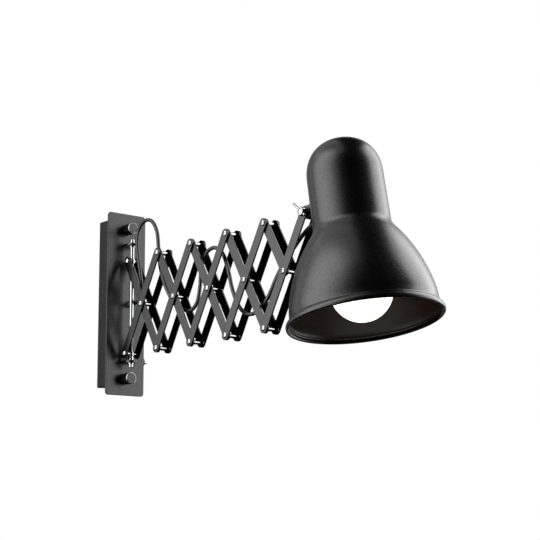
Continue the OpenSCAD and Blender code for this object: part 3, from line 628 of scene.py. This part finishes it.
def softened(node, finish, body, width=0.3):
    """A copy of a CAD solid with its loose triangles merged, its flat faces made whole again, and its
    edges rounded by a bevel modifier. It suits brackets and housings whose outline no short formula
    gives."""
    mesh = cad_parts[node].data.copy()
    mesh.name = node + "_soft"
    merge_points(mesh, flat_within=1.0)
    mesh.shade_smooth()
    mesh.set_sharp_from_angle(angle=np.radians(CRISP))
    thing = in_scene(node + "_soft", mesh, finish)
    bevel = thing.modifiers.new("edge", "BEVEL")
    bevel.width, bevel.segments = width * MM, 3
    bevel.limit_method, bevel.angle_limit = "ANGLE", np.radians(CRISP)
    bevel.harden_normals = False
    print("edges rounded:", node)
    return finish_piece(thing, body, [node])


def keep(node, finish):
    """Keeps a CAD solid as it is and gives it its finish."""
    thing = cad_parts[node]
    thing.data.materials.clear()
    thing.data.materials.append(finish)
    print("kept as it is:", node)


# %% [markdown]
# ## Wall box and face plate
#
# The box is folded steel, open to the front, with holes in its back for the wall screws and
# the supply cable. The face plate is a flat sheet with round corners that overhangs it. The
# box comes from its CAD solid, because of its holes. The plate's holes are all covered, so
# it can be a plain sheet with round edges. Its height follows from the arm: a folded arm
# lifts the upper pin up to the upper lug, and the knobs and the edge lie beyond that.

# %% Sizes of the arm and the wall end
box_d, box_w, plate_t, overhang, corner_r = 20.0, 48.0, 2.0, 2.2, 4.0
bar_pitch, bar_w, bar_t, arm_z = 126.0, 10.4, 2.0, -6.0
bar_angle, steepest = np.radians([59.8, 74])
cell, rise = bar_pitch * np.cos(bar_angle), bar_pitch * np.sin(bar_angle)
low_z, high_z = arm_z - rise / 2, arm_z + rise / 2
lug_half, lug_room, lug_drop, nut_past_lug, plate_past_nut = 1.5, 1.0, 8.9, 20.1, 19.3
lug_high = low_z + bar_pitch * np.sin(steepest) + bar_w / 2 + lug_room + lug_half
lug_low, nut_z = low_z - lug_drop, lug_high + nut_past_lug
plate_x, plate_w, plate_h = box_d + plate_t, box_w + 2 * overhang, 2 * (nut_z + plate_past_nut)
print("cell in mm:", round(cell, 2), "plate in mm:", plate_w, "x", round(plate_h, 1))

# %% Box and plate
# The box gets the duller copy of the powder coat: painted shade on its sides.
softened("wall_box", box_black_painted_shade, "wall_part", 0.5)
plate = sheet_form(round_rectangle(plate_w, plate_h, corner_r), box_d, plate_x, 0.45)
grid_piece("plate_sheet", [along_x(plate)], powder_black, "wall_part", ["face_plate"])
softened("terminal_block", block_white, "wall_part", 0.4)
keep("cover_studs", zinc)

# %% [markdown]
# ## Thumb nuts
#
# Two knobs hold the face plate. Each is black, with a flat front and a bevel that is turned
# after painting, so that it shines as a thin bright ring. A second material on the bevel's
# faces would do. The ring is a piece of its own here, laid just over the bevel, so that its
# edges can be round.

# %% Thumb nuts
nut_r, nut_h, collar_r, collar_h, nut_edge = 6.8, 13.8, 4.5, 2.6, 0.8
foot, front = plate_x + collar_h, plate_x + nut_h
flat_r = nut_r - nut_edge
knob = soften(
    [[0, plate_x], [collar_r, plate_x], [collar_r, foot], [flat_r, foot], [nut_r, foot + nut_edge],
     [nut_r, front - nut_edge], [flat_r, front], [0, front]],
    0.15, 0.3,
)
ring = soften(
    [[flat_r - 0.35, front - 0.4], [flat_r - 0.25, front], [nut_r - 0.45, front - 0.14],
     [nut_r - 0.02, front - nut_edge + 0.1], [nut_r - 0.1, front - nut_edge - 0.2]],
    0.12, 0.1,
)
for end, z in (("upper", nut_z), ("lower", -nut_z)):
    body = f"{end}_nut"
    nut_form = along_x(turned(knob), (0, 0, z))
    edge_form = along_x(turned(np.vstack([ring, ring[:1]])), (0, 0, z))
    grid_piece(f"{end}_knob", [nut_form], knob_black, body, [f"{end}_thumb_nut"])
    grid_piece(f"{end}_knob_ring", [edge_form], turned_edge, body)
print("knobs at heights in mm:", round(nut_z, 1), round(-nut_z, 1))

# %% [markdown]
# ## Rod, lugs and what sits on the rod
#
# The chrome rod stands in two black lugs. Rings above and below keep it there, and a washer
# and a cone-shaped bush limit the cross pins. All of these are turned pieces on one axis,
# so one loop of radius and height makes each of them. The lugs are bent from flat steel,
# and their CAD solids with rounded edges serve well.

# %% Rod and rings
rod_out, rod_r, rod_edge, rod_past, running_gap, sleeve_half = 11.7, 2.5, 0.8, 5.8, 0.05, 2.5
rod_x = plate_x + rod_out
rod_low, rod_high = lug_low - lug_half - rod_past, lug_high + lug_half + rod_past
on_rod, rod_sides = (rod_x, 0, 0), 48
rod_line = soften(
    [[0, rod_low], [rod_r - rod_edge, rod_low], [rod_r, rod_low + rod_edge],
     [rod_r, rod_high - rod_edge], [rod_r - rod_edge, rod_high], [0, rod_high]],
    0.25, 0.4,
)
rod_form = along_z(turned(rod_line, rod_sides), on_rod)
grid_piece("rod_turned", [rod_form], chrome, "wall_part", ["pivot_rod"])


def on_the_rod(name, node, low, high, low_r, high_r):
    """A ring round the rod: a closed loop of radius and height, with its four corners rounded."""
    inner = rod_r - 0.02
    half_way = [inner, (low + high) / 2]
    loop = [half_way, [inner, low], [low_r, low], [high_r, high], [inner, high], half_way]
    ring_form = along_z(turned(soften(loop, 0.2, 0.15), rod_sides), on_rod)
    grid_piece(name, [ring_form], chrome, "wall_part", [node])


ring_r, ring_t, washer_t = 3.7, 1.2, 1.6
above, under_upper, below = lug_high + lug_half, lug_high - lug_half, lug_low - lug_half
on_the_rod("ring_above", "upper_ring", above, above + ring_t, ring_r, ring_r)
on_the_rod("ring_below", "lower_ring", below - ring_t, below, ring_r, ring_r)
on_the_rod("washer_above", "upper_washer", under_upper - washer_t, under_upper, ring_r, ring_r)
bush_top = low_z - sleeve_half - running_gap
on_the_rod("bush_below", "thrust_bush", lug_low + lug_half, bush_top, 3.6, 3.0)
softened("upper_lug", powder_black, "wall_part", 0.35)
softened("lower_lug", powder_black, "wall_part", 0.35)
print("rod in mm, from and to:", round(rod_low, 1), round(rod_high, 1))

# %% [markdown]
# ## Rivets and cross pins
#
# Each joint of the arm is a steel rivet: a thick middle that keeps the bars apart, a thinner
# part through the bars, and a domed head at each end, with the small round hole that the
# setting tool leaves in it. Only the thick middle and the heads show. The two cross pins on
# the rod are rivets with a short sleeve that slides on the rod. Half a ball would do for a
# head from afar, but the flat crown and the hole catch the light as the real ones do.

# %% Rivet form
layer_in = 5.5
layer_out = layer_in + bar_t + running_gap
head_in, head_out = layer_in + bar_t, layer_out + bar_t
spacer_r, shank_r, head_r, head_h, head_rim = 2.5, 1.6, 3.3, 1.5, 0.3
lip_r, hole_r, hole_h = 1.75, 1.3, 0.4


def dome(seat, way):
    """A rivet head: a short upright rim, a crown whose height falls with the cube of the radius, and
    the round hole that the setting tool leaves, with a rounded lip and a steep wall."""
    share = np.linspace(1, lip_r / head_r, 12)
    crown = np.stack([head_r * share, head_rim + (head_h - head_rim) * (1 - share**3)], -1)
    lip = crown[-1]
    hole = soften([lip, lip + [-0.2, 0.03], [hole_r, hole_h], [0, hole_h - 0.1]], 0.16, 0.08)
    foot = [[0, 0], [head_r - 0.3, 0], [head_r - 0.05, 0.02], [head_r, 0.12]]
    return turned(np.vstack([foot, crown, hole[1:]]) * [1, way] + [0, seat], 40)


def rivet(x, z, shoulder, head_at):
    """All grids of one rivet along Y: thick middle, shank and two heads."""
    middle = soften([[0, -shoulder], [spacer_r, -shoulder], [spacer_r, shoulder], [0, shoulder]], 0.12, 0.2)
    shank = [[0, -head_at], [shank_r, -head_at], [shank_r, head_at], [0, head_at]]
    forms = [turned(middle, 40), turned(shank, 24), dome(head_at, 1), dome(-head_at, -1)]
    return [along_y(form, (x, 0, z)) for form in forms]


def sleeve(z):
    """The sleeve of a cross pin round the rod: a ring with softened corners."""
    inner, outer, half = rod_r + running_gap, 3.8, sleeve_half
    loop = [[inner, 0], [inner, -half], [outer, -half], [outer, half], [inner, half], [inner, 0]]
    return along_z(turned(soften(loop, 0.25, 0.2), rod_sides), (rod_x, 0, z))


# %% Rivets on the arm
cells = 5
between_inner, between_outer = layer_in - running_gap, layer_out - running_gap
for k in range(1, cells + 1):
    places = [(rod_x + (k - 0.5) * cell, arm_z)]
    if k > 1:
        places.append((rod_x + (k - 1) * cell, low_z))
    if k < cells:
        places.append((rod_x + k * cell, high_z))
    grids = [form for x, z in places for form in rivet(x, z, between_inner, head_out)]
    grid_piece(f"rivet_set_{k}", grids, chrome, f"rise_{k}", [f"rivets_{k}"])
low_pin = rivet(rod_x, low_z, between_outer, head_out + running_gap) + [sleeve(low_z)]
high_pin = rivet(rod_x, high_z, between_inner, head_in + running_gap) + [sleeve(high_z)]
grid_piece("low_pin_turned", low_pin, chrome, "swing_pin", ["lower_cross_pin"])
grid_piece("high_pin_turned", high_pin, chrome, "slide_pin", ["upper_cross_pin"])
print("length of a rivet over its heads in mm:", round(2 * (head_out + head_h), 1))

# %% [markdown]
# ## The bars
#
# The arm has ten pairs of flat steel bars with round ends, stamped and painted satin black.
# A rising bar lies in the outer layer and a falling bar in the inner one. All are the same
# outline, laid at an angle, so one function makes them. A mirrored copy would turn the
# faces inside out, so each side gets its own grid. The faces towards the middle of the arm
# get a matt copy of the paint with no specular reflection, which is painted shade for the
# dark gap between the bars.

# %% Bars


def bar(name, k, way, side, ends):
    """One bar of cell k. Its outline runs along its own line, which climbs or falls at the arm's angle,
    and its thickness runs outwards from its layer."""
    low = layer_out if way > 0 else layer_in
    flat = sheet_form(stadium(*ends, bar_w / 2), low, low + bar_t, 0.32, 0.3)
    u, v, out = flat[..., 0], flat[..., 1], flat[..., 2]
    c, s = np.cos(bar_angle), way * np.sin(bar_angle)
    x = rod_x + (k - 0.5) * cell + u * c - v * s
    z = arm_z + u * s + v * c
    node = f"{name}_bar_{k}_{'left' if side < 0 else 'right'}"
    form = np.stack([x, side * out, z], -1)
    sheet = grid_piece(node + "_sheet", [form], bar_black, f"{name}_{k}", [node])
    # The faces towards the middle of the arm get the matt copy: painted shade.
    second_finish(sheet, bar_inner_painted_shade, np.abs(face_middles(sheet)[:, 1]) < low + 0.15)


for k in range(1, cells + 1):
    for side in (-1, 1):
        bar("rise", k, 1, side, (-bar_pitch / 2, bar_pitch / 2))
        bar("fall", k, -1, side, (-bar_pitch / 2, 0 if k == cells else bar_pitch / 2))

# %% [markdown]
# ## Head joint
#
# A clamp screw goes through the last pair of bars and the shade's black knuckle. It has a
# round head with a small recess and a tommy bar through it, and a hexagon nut at the far
# end. The bracket is welded from a knuckle and a square arm, so its CAD solid with round
# edges serves best. The turned parts are profiles again, and the tommy bar is a pin with
# round ends that is turned to the angle of the photograph.

# %% Clamp screw
tip_x = rod_x + cells * cell
at_tip = np.array([tip_x, 0, high_z])
seat, clamp_r, clamp_nut_t = head_out + running_gap, 2.5, 4.0
screw_head_r, screw_head_t, recess_r, recess_d, screw_edge = 4.75, 4.5, 2.7, 0.8, 0.5
tail = head_out + clamp_nut_t + 1
front = -seat - screw_head_t
screw = soften(
    [[0, front + recess_d], [recess_r, front + recess_d], [recess_r + 0.4, front],
     [screw_head_r - 0.8, front], [screw_head_r, front + 0.8], [screw_head_r, -seat - screw_edge],
     [screw_head_r - screw_edge, -seat], [clamp_r, -seat], [clamp_r, tail - screw_edge],
     [clamp_r - screw_edge, tail], [0, tail]],
    0.2, 0.25,
)
grid_piece("clamp_turned", [along_y(turned(screw, 56), at_tip)], chrome, "clamp", ["clamp_screw"])
print("clamp screw in mm:", round(tail - front, 1))

# %% Tommy bar


def turn_about_y(angle):
    """The matrix of a turn about the Y axis, from X towards minus Z."""
    c, s = np.cos(angle), np.sin(angle)
    return np.array([[c, 0, s], [0, 1, 0], [-s, 0, c]])


tommy_turn = np.radians(90 - 140)
half_circle = np.linspace(-np.pi / 2, np.pi / 2, 15)
pin_r, back, reach = 1.3, 6.0, 15.0
pin_line = np.stack([pin_r * np.cos(half_circle), pin_r * np.sin(half_circle)], -1)
pin_line[:, 1] += np.where(half_circle < 0, -back, reach)
pin = turned(np.vstack([pin_line[:7], [[pin_r, -back], [pin_r, reach]], pin_line[8:]]), 32)
pin = pin @ turn_about_y(tommy_turn).T + at_tip - [0, seat + screw_head_t / 2, 0]
grid_piece("tommy_turned", [pin], chrome, "clamp", ["tommy_bar"])
print("tommy bar in mm:", back + reach + 2 * pin_r)

# %% Clamp nut and bracket
nut_outline = hexagon(9.2)
nut_form = along_y(sheet_form(nut_outline, head_out, head_out + clamp_nut_t, 0.35, 0.2), at_tip)
grid_piece("clamp_nut_form", [nut_form], chrome, "rise_5", ["clamp_nut"])
softened("head_bracket", bar_black, "head", 0.5)
keep("neck_bolt", zinc)

# %% [markdown]
# ## The shade
#
# The shade is spun from one disc of metal: a dome, a straight neck, a soft crease, a bell
# and a rolled rim. Spinning gives a wall of even thickness, so the outside profile is worked
# out first, and the inside is the same line moved in by the thickness of the metal. At the
# rim the metal flares out, rolls under in a bead, and its edge is folded back inside, which
# leaves a fine groove. Each of these is a short cubic curve. A tube laid round the edge
# would look like a ring on a shade, and not like one sheet of metal that is rolled over.

# %% Curves of the shade
bell_r, bell_h, neck_r, neck_l, neck_in, dome_h = 70.8, 91.5, 37.8, 54.5, 0.5, 38.9
rim_h, wall = 14.1, 1.2
neck_top, neck_top_r = bell_h + neck_l, neck_r - neck_in


def cubic(points, steps):
    """A cubic curve with four control points: each is weighted by its share at t."""
    p, t = np.asarray(points, float), np.linspace(0, 1, steps)[:, None]
    return (1 - t) ** 3 * p[0] + 3 * (1 - t) ** 2 * t * p[1] + 3 * (1 - t) * t**2 * p[2] + t**3 * p[3]


def moved_in(line, distance):
    """The line moved to its left by a distance. A point on the axis stays on it."""
    way = np.gradient(line, axis=0)
    way /= np.linalg.norm(way, axis=1, keepdims=True)
    shifted = line + distance * np.stack([-way[:, 1], way[:, 0]], -1)
    shifted[line[:, 0] < MEET, 0] = 0
    return shifted


bell = cubic([[1, 0], [0.99, 0.18], [0.7, 0.66], [0, 1]], 44)
bell = bell * [bell_r - neck_r, bell_h - rim_h] + [neck_r, rim_h]
neck = np.stack([np.linspace(neck_r, neck_top_r, 12), np.linspace(bell_h, neck_top, 12)], -1)
turn, fullness = np.linspace(0, np.pi / 2, 30), 0.88
cap = np.stack([neck_top_r * np.cos(turn) ** fullness, neck_top + dome_h * np.sin(turn) ** fullness], -1)
before = bell[-6]
crease = cubic([before, before + 0.75 * (bell[-1] - before), neck[0] + [0, 1.5], neck[1]], 10)
spun = np.vstack([bell[:-6], crease, neck[2:-1], cap])
print("height of the shade in mm:", round(float(spun[:, 1].max()), 1))

# %% Rim of the shade
inner_r, lip_r_inside = bell_r - wall, bell_r + 0.3
bead = cubic([[bell_r + 3.1, 0.0], [bell_r + 5.4, 0.2], [bell_r + 5.0, 4.6], [bell_r + 2.6, 6.4]], 14)
flare = cubic([bead[-1], [bell_r + 1.3, 7.2], [bell_r + 0.5, 7.2], [lip_r_inside, 8.8]], 10)
fold_from, fold_to = [lip_r_inside - 0.1, 4.6], [lip_r_inside + 0.4, 2.5]
fold = cubic([fold_from, [lip_r_inside - 0.7, 4.2], [lip_r_inside - 0.7, 3.0], fold_to], 10)
bottom = cubic([fold[-1], [bell_r + 1.6, 1.8], [bell_r + 1.9, 0.4], [bell_r + 2.6, 0.1]], 10)
towards_lip = [[inner_r, 10.0], [inner_r + 0.35, 7.0], [inner_r + 0.8, 5.4]]
shade_line = np.vstack([moved_in(spun, wall)[::-1], towards_lip, fold, bottom[1:], bead, flare[1:], spun])
print("width over the rim in mm:", round(2 * float(shade_line[:, 0].max()), 1))

# %% Turning and tilting the shade
tilt = turn_about_y(-np.radians(9.8))
rim_centre = np.array([55.2, 0, -129.7])


def in_shade(grid):
    """From the shade's own frame, with Z up its axis from the rim, to the lamp's frame."""
    return (grid + rim_centre) @ tilt.T + at_tip


shade_grid = in_shade(turned(shade_line, 160))
shade = grid_piece("shade_spun", [shade_grid], shade_black, "head", ["shade"], crisp=60)
own = (face_middles(shade) - at_tip) @ tilt - rim_centre
own_r, own_h = np.hypot(own[:, 0], own[:, 1]), own[:, 2]
outside_r = np.interp(own_h, spun[:, 1], spun[:, 0])
in_bell = (own_h > 8) & (own_r < outside_r - wall / 2)
in_rim = (own_h > 4.1) & (own_h <= 8) & (own_r < lip_r_inside - 0.1)
# The inner faces of the bell and rim get the brown, less glossy copy: painted shade, and painted warm light
# from the bulb.
second_finish(shade, shade_inside_painted_shade, in_bell | in_rim)

# %% [markdown]
# ## Holder and bulb
#
# Inside the neck an angle strap carries a glazed lampholder, and the bulb hangs from it. The
# bulb is an opal globe that narrows to a screw cap. It is lit, so its glass gives light, and
# the shade's dark inside catches a little of it. A lamp object inside the globe would light
# the shade as well, but a glass that glows by itself is also bright to look at.

# %% Bulb
bulb_r, tip_h, glass_l, cap_r, cap_l = 30.0, 0.9, 80.0, 13.1, 25.0
cap_low, contact = tip_h + glass_l, tip_h + glass_l + cap_l
glass_in_cap, lean = 5, np.radians(40)
arc = np.linspace(-np.pi / 2, lean, 40)
globe = np.stack([bulb_r * np.cos(arc), tip_h + bulb_r + bulb_r * np.sin(arc)], -1)
globe[0, 0] = 0
knee, neck_glass = globe[-1], cap_r - 0.75
climb = cap_low - knee[1]
leaning = knee + 0.4 * climb * np.array([-np.sin(lean), np.cos(lean)])
shoulder = cubic([knee, leaning, [neck_glass, cap_low - 0.45 * climb], [neck_glass, cap_low]], 24)
glass_top = cap_low + glass_in_cap
closing = [[neck_glass, glass_top], [neck_glass - 0.9, glass_top], [0, glass_top]]
glass = turned(np.vstack([globe, shoulder[1:], closing]), 96)
grid_piece("bulb_globe", [in_shade(glass)], lit_glass, "head", ["bulb_glass"])
print("bulb in mm:", 2 * bulb_r, "wide and", round(contact - tip_h, 1), "long")

# %% Screw cap and holder
threads, thread_d = 5, 0.35
turns = np.linspace(0, 1, 60)
thread_r = cap_r - thread_d + thread_d * np.cos(2 * np.pi * turns * threads)
thread = np.stack([thread_r, cap_low + 1 + turns * (cap_l - 6.5)], -1)
collar_z = contact - 1.2
cap_line = np.vstack(
    [[[0, cap_low], [cap_r - 0.7, cap_low]], thread, [[cap_r * 0.6, collar_z], [cap_r * 0.35, collar_z]],
     [[cap_r * 0.35, contact], [0, contact]]]
)
grid_piece("bulb_cap_thread", [in_shade(turned(cap_line))], nickel, "head", ["bulb_cap"])
softened("lampholder", glazed_white, "head", 0.5)
softened("holder_strap", zinc, "head", 0.25)
softened("holder_nut", brass, "head", 0.3)
keep("holder_nipple", brass)
keep("cord_bush", rubber_black)

# %% [markdown]
# ## Cord grip and switch
#
# The rubber grip is a tapered tube with a flange behind the plate, and grooves that let it
# bend. The toggle switch sits in the box's side: a threaded neck, a hexagon nut and a small
# bright lever with a ball at its root. The grip's profile repeats one rib, so a loop adds
# the four points of each. The switch's body and nut keep their CAD forms.

# %% Grip
grip_r, grip_back, grip_front = cord_d / 2, 15, 31
base_r, tip_r, flange_r, rib_depth, ribs = grip_r + 2.3, grip_r + 1.1, grip_r + 3.6, 0.28, 6
grip_line = [[grip_r, grip_back], [flange_r, grip_back], [flange_r, box_d]]
grip_line += [[base_r, box_d], [base_r, plate_x]]
for share in np.linspace(0, 1, ribs + 1)[1:-1]:
    out = plate_x + (grip_front - plate_x) * share
    rib_r = base_r - (base_r - tip_r) * share
    groove_r = rib_r - rib_depth
    grip_line += [[rib_r + 0.05, out - 0.95], [rib_r, out - 0.45]]
    grip_line += [[groove_r, out - 0.3], [groove_r, out - 0.05]]
grip_line += [[tip_r, grip_front], [grip_r, grip_front], [grip_r, grip_back]]
grip = along_x(turned(soften(grip_line, 0.15, 0.1, 3), 40), (0, grip_y, 0))
grid_piece("grip_moulded", [grip], rubber_black, "wall_part", ["cord_grip"])
print("points in the grip's profile:", len(grip_line))

# %% Switch
softened("switch_body", case_black, "wall_part", 0.3)
softened("switch_nut", nickel, "wall_part", 0.2)
ball_r, ball_y, knob_r, knob_y = 2.0, box_w / 2 + 3, 1.8, box_w / 2 + 12.8 - 1.8
switch_x, switch_up, plate_past_box = 13, 32.2, 9.3
lever_at = (switch_x, 0, plate_past_box - plate_h / 2 + switch_up)
quarter = np.linspace(-np.pi / 2, 0, 8)
ball = np.stack([ball_r * np.cos(quarter), ball_y + ball_r * np.sin(quarter)], -1)
knob_end = np.stack([-knob_r * np.sin(quarter), knob_y + knob_r * np.cos(quarter)], -1)
waist = [[1.9, ball_y + 0.6], [1.25, ball_y + 1.6], [1.3, ball_y + 3]]
lever = along_y(turned(np.vstack([ball[:-1], waist, knob_end]), 32), lever_at)
grid_piece("switch_lever_turned", [lever], nickel, "switch_toggle", ["switch_lever"])
print("pieces made so far:", len(made))

# %% [markdown]
# ## Floor and lamps
#
# The photograph is a clean product picture with a white surround. A floor lies below the
# lamp, out of the picture. Soft light comes from large rectangular lamps, and on black gloss
# each lamp shows as a pale shape, so their places matter more than their power. The round
# neck shows a grey left side, a black band and a pale right edge: the big lamp stands on the
# left, nothing bright stands beside the camera, and the lamps on the right stand behind.

# %% Floor
floor_z, floor_low, floor_high = -0.42, -1.6, 2.4
edges = [(floor_low, floor_low), (floor_high, floor_low), (floor_high, floor_high), (floor_low, floor_high)]
floor_mesh = bpy.data.meshes.new("floor")
floor_mesh.from_pydata([(x, y, floor_z) for x, y in edges], [], [(0, 1, 2, 3)])
floor_pale = coated("floor_pale", grey(0.8), grey(0.84), 20.0, 0.0, (0.7, 0.8))
floor = in_scene("floor", floor_mesh, floor_pale)
floor.visible_glossy = False
print("floor in metres:", floor_high - floor_low)

# %% Lamp maker


def softbox(name, centre, target, wide, high, radiance):
    """A rectangular lamp that faces a target. Its power is its radiance times pi times its area."""
    data = bpy.data.lights.new(name, "AREA")
    data.shape, data.size, data.size_y = "RECTANGLE", wide, high
    data.energy = radiance * np.pi * wide * high
    back = np.array(centre, float) - np.array(target, float)
    back /= np.linalg.norm(back)
    across = np.cross([0, 0, 1], back)
    across /= np.linalg.norm(across)
    lamp = placed(name, data, across, np.cross(back, across), back, centre)
    lamp.visible_camera = False
    print(name, "stands at", np.round(centre, 2))
    return lamp


# %% [markdown]
# ## The large lamp on the left
#
# The shade's grey side isn't even: it is brightest in the middle, falls off softly towards
# the black band, and fades upwards on the dome. A real studio gets this from a lamp behind a
# large cloth, which glows most where the lamp is near. Several lamps in a row would do it in
# steps. Here one panel has nodes of its own. Its UV coordinate runs from 0 to 1 across it
# and up it. A colour ramp gives the glow across, a straight fall gives it upwards, and the
# smaller of the two counts, with a smooth change from one to the other.

# %% The large lamp on the left
left_x = [-1.11, -1.01, -0.88, -0.58, -0.26, 0.04, 0.264, 0.448, 0.604, 0.76, 0.93]
left_glow = [0.0, 1.8, 2.2, 2.6, 3.7, 4.4, 3.8, 2.4, 1.0, 0.25, 0.0]
left_y, left_low, left_full, left_top, blend_width = -0.75, -0.41, 0.78, 1.49, 0.3
left_wide, left_high, brightest = left_x[-1] - left_x[0], left_top - left_low, max(left_glow)
middle = np.array([(left_x[0] + left_x[-1]) / 2, left_y, (left_low + left_top) / 2])
lamp_left = softbox("lamp_left", middle, middle + [0, 1, 0], left_wide, left_high, 1.0)
lamp_left.data.use_nodes = True
panel = lamp_left.data.node_tree
place = panel.nodes.new("ShaderNodeTexCoord")
axes = add_node(panel, "ShaderNodeSeparateXYZ", {"Vector": place.outputs["UV"]})
ramp = add_node(panel, "ShaderNodeValToRGB", {"Fac": axes.outputs["X"]})
stops = ramp.color_ramp.elements
for k, (x, glow) in enumerate(zip(left_x, left_glow)):
    share = (x - left_x[0]) / left_wide
    stop = stops.new(share) if 0 < k < len(left_x) - 1 else stops[0 if k == 0 else -1]
    stop.position, stop.color = share, (glow / brightest,) * 3 + (1,)
across = reckon(panel, "MULTIPLY", ramp.outputs["Color"], brightest)
upwards = spread(panel, axes.outputs["Y"], (left_full - left_low) / left_high, 1.0, brightest, 0.0)
smaller = reckon(panel, "SMOOTH_MIN", across, upwards, blend_width)
panel.links.new(smaller, panel.nodes["Emission"].inputs["Strength"])
print("the left lamp is brightest at x =", left_x[int(np.argmax(left_glow))])

# %% [markdown]
# ## The other lamps and the background
#
# A dim lamp above gives the dome its soft top. A near and a far lamp behind on the right
# give the pale edges of neck and bell and the white streaks on the chrome. Two weak
# backdrops and a narrow glow beside the wall keep the box and the plate from going black.
# The background has three strengths: white where the camera sees it, nearly as white for
# the light that it throws, and almost black in reflections, so that black metal stays black.
# One white background would be simpler, but it would turn all the gloss grey.

# %% The other lamps
softbox("lamp_above", (0.05, -0.45, 1.2), (0.36, 0.0, 0.0), 1.8, 0.95, 0.8)
softbox("lamp_right_near", (0.66, 0.54, 0.35), (0.66 - 0.436, 0.54 - 0.9, 0.35), 0.62, 1.2, 3.0)
softbox("lamp_right_far", (1.0, 2.884, 1.1), (0.3, 0.0, 0.4), 3.1, 3.9, 2.4)
softbox("backdrop_right", (-0.68, 1.68, 0.5), (0.41, 0.0, 0.1), 1.3, 2.2, 0.8)
softbox("backdrop_left", (-1.25, 0.5, 0.5), (0.4, 0.2, 0.2), 1.2, 2.4, 0.35)
softbox("wall_glow", (-1.2, -0.38, 0.5), (0.4, -0.3, 0.3), 0.46, 2.0, 0.9)

# %% Background
world = bpy.data.worlds.new("studio")
bpy.context.scene.world = world
world.use_nodes = True
sky = world.node_tree
sky.nodes.clear()
rays = sky.nodes.new("ShaderNodeLightPath").outputs


def white_sky(strength):
    """An even white background of one strength."""
    return add_node(sky, "ShaderNodeBackground", {"Color": (1, 1, 1, 1), "Strength": strength}).outputs[0]


seen, thrown, mirrored = white_sky(1.0), white_sky(0.9), white_sky(0.01)
unseen = add_node(sky, "ShaderNodeMixShader", {0: rays["Is Diffuse Ray"], 1: mirrored, 2: thrown})
chosen = add_node(sky, "ShaderNodeMixShader", {0: rays["Is Camera Ray"], 1: unseen.outputs[0], 2: seen})
add_node(sky, "ShaderNodeOutputWorld", {"Surface": chosen.outputs[0]})
bpy.context.scene.view_settings.view_transform = "Standard"
print("background nodes:", len(sky.nodes))

# %% [markdown]
# ## Piece count
#
# The script ends by printing how many pieces it made. The visual model must not outgrow
# the CAD model.

# %% Pieces
print("pieces made:", len(made))
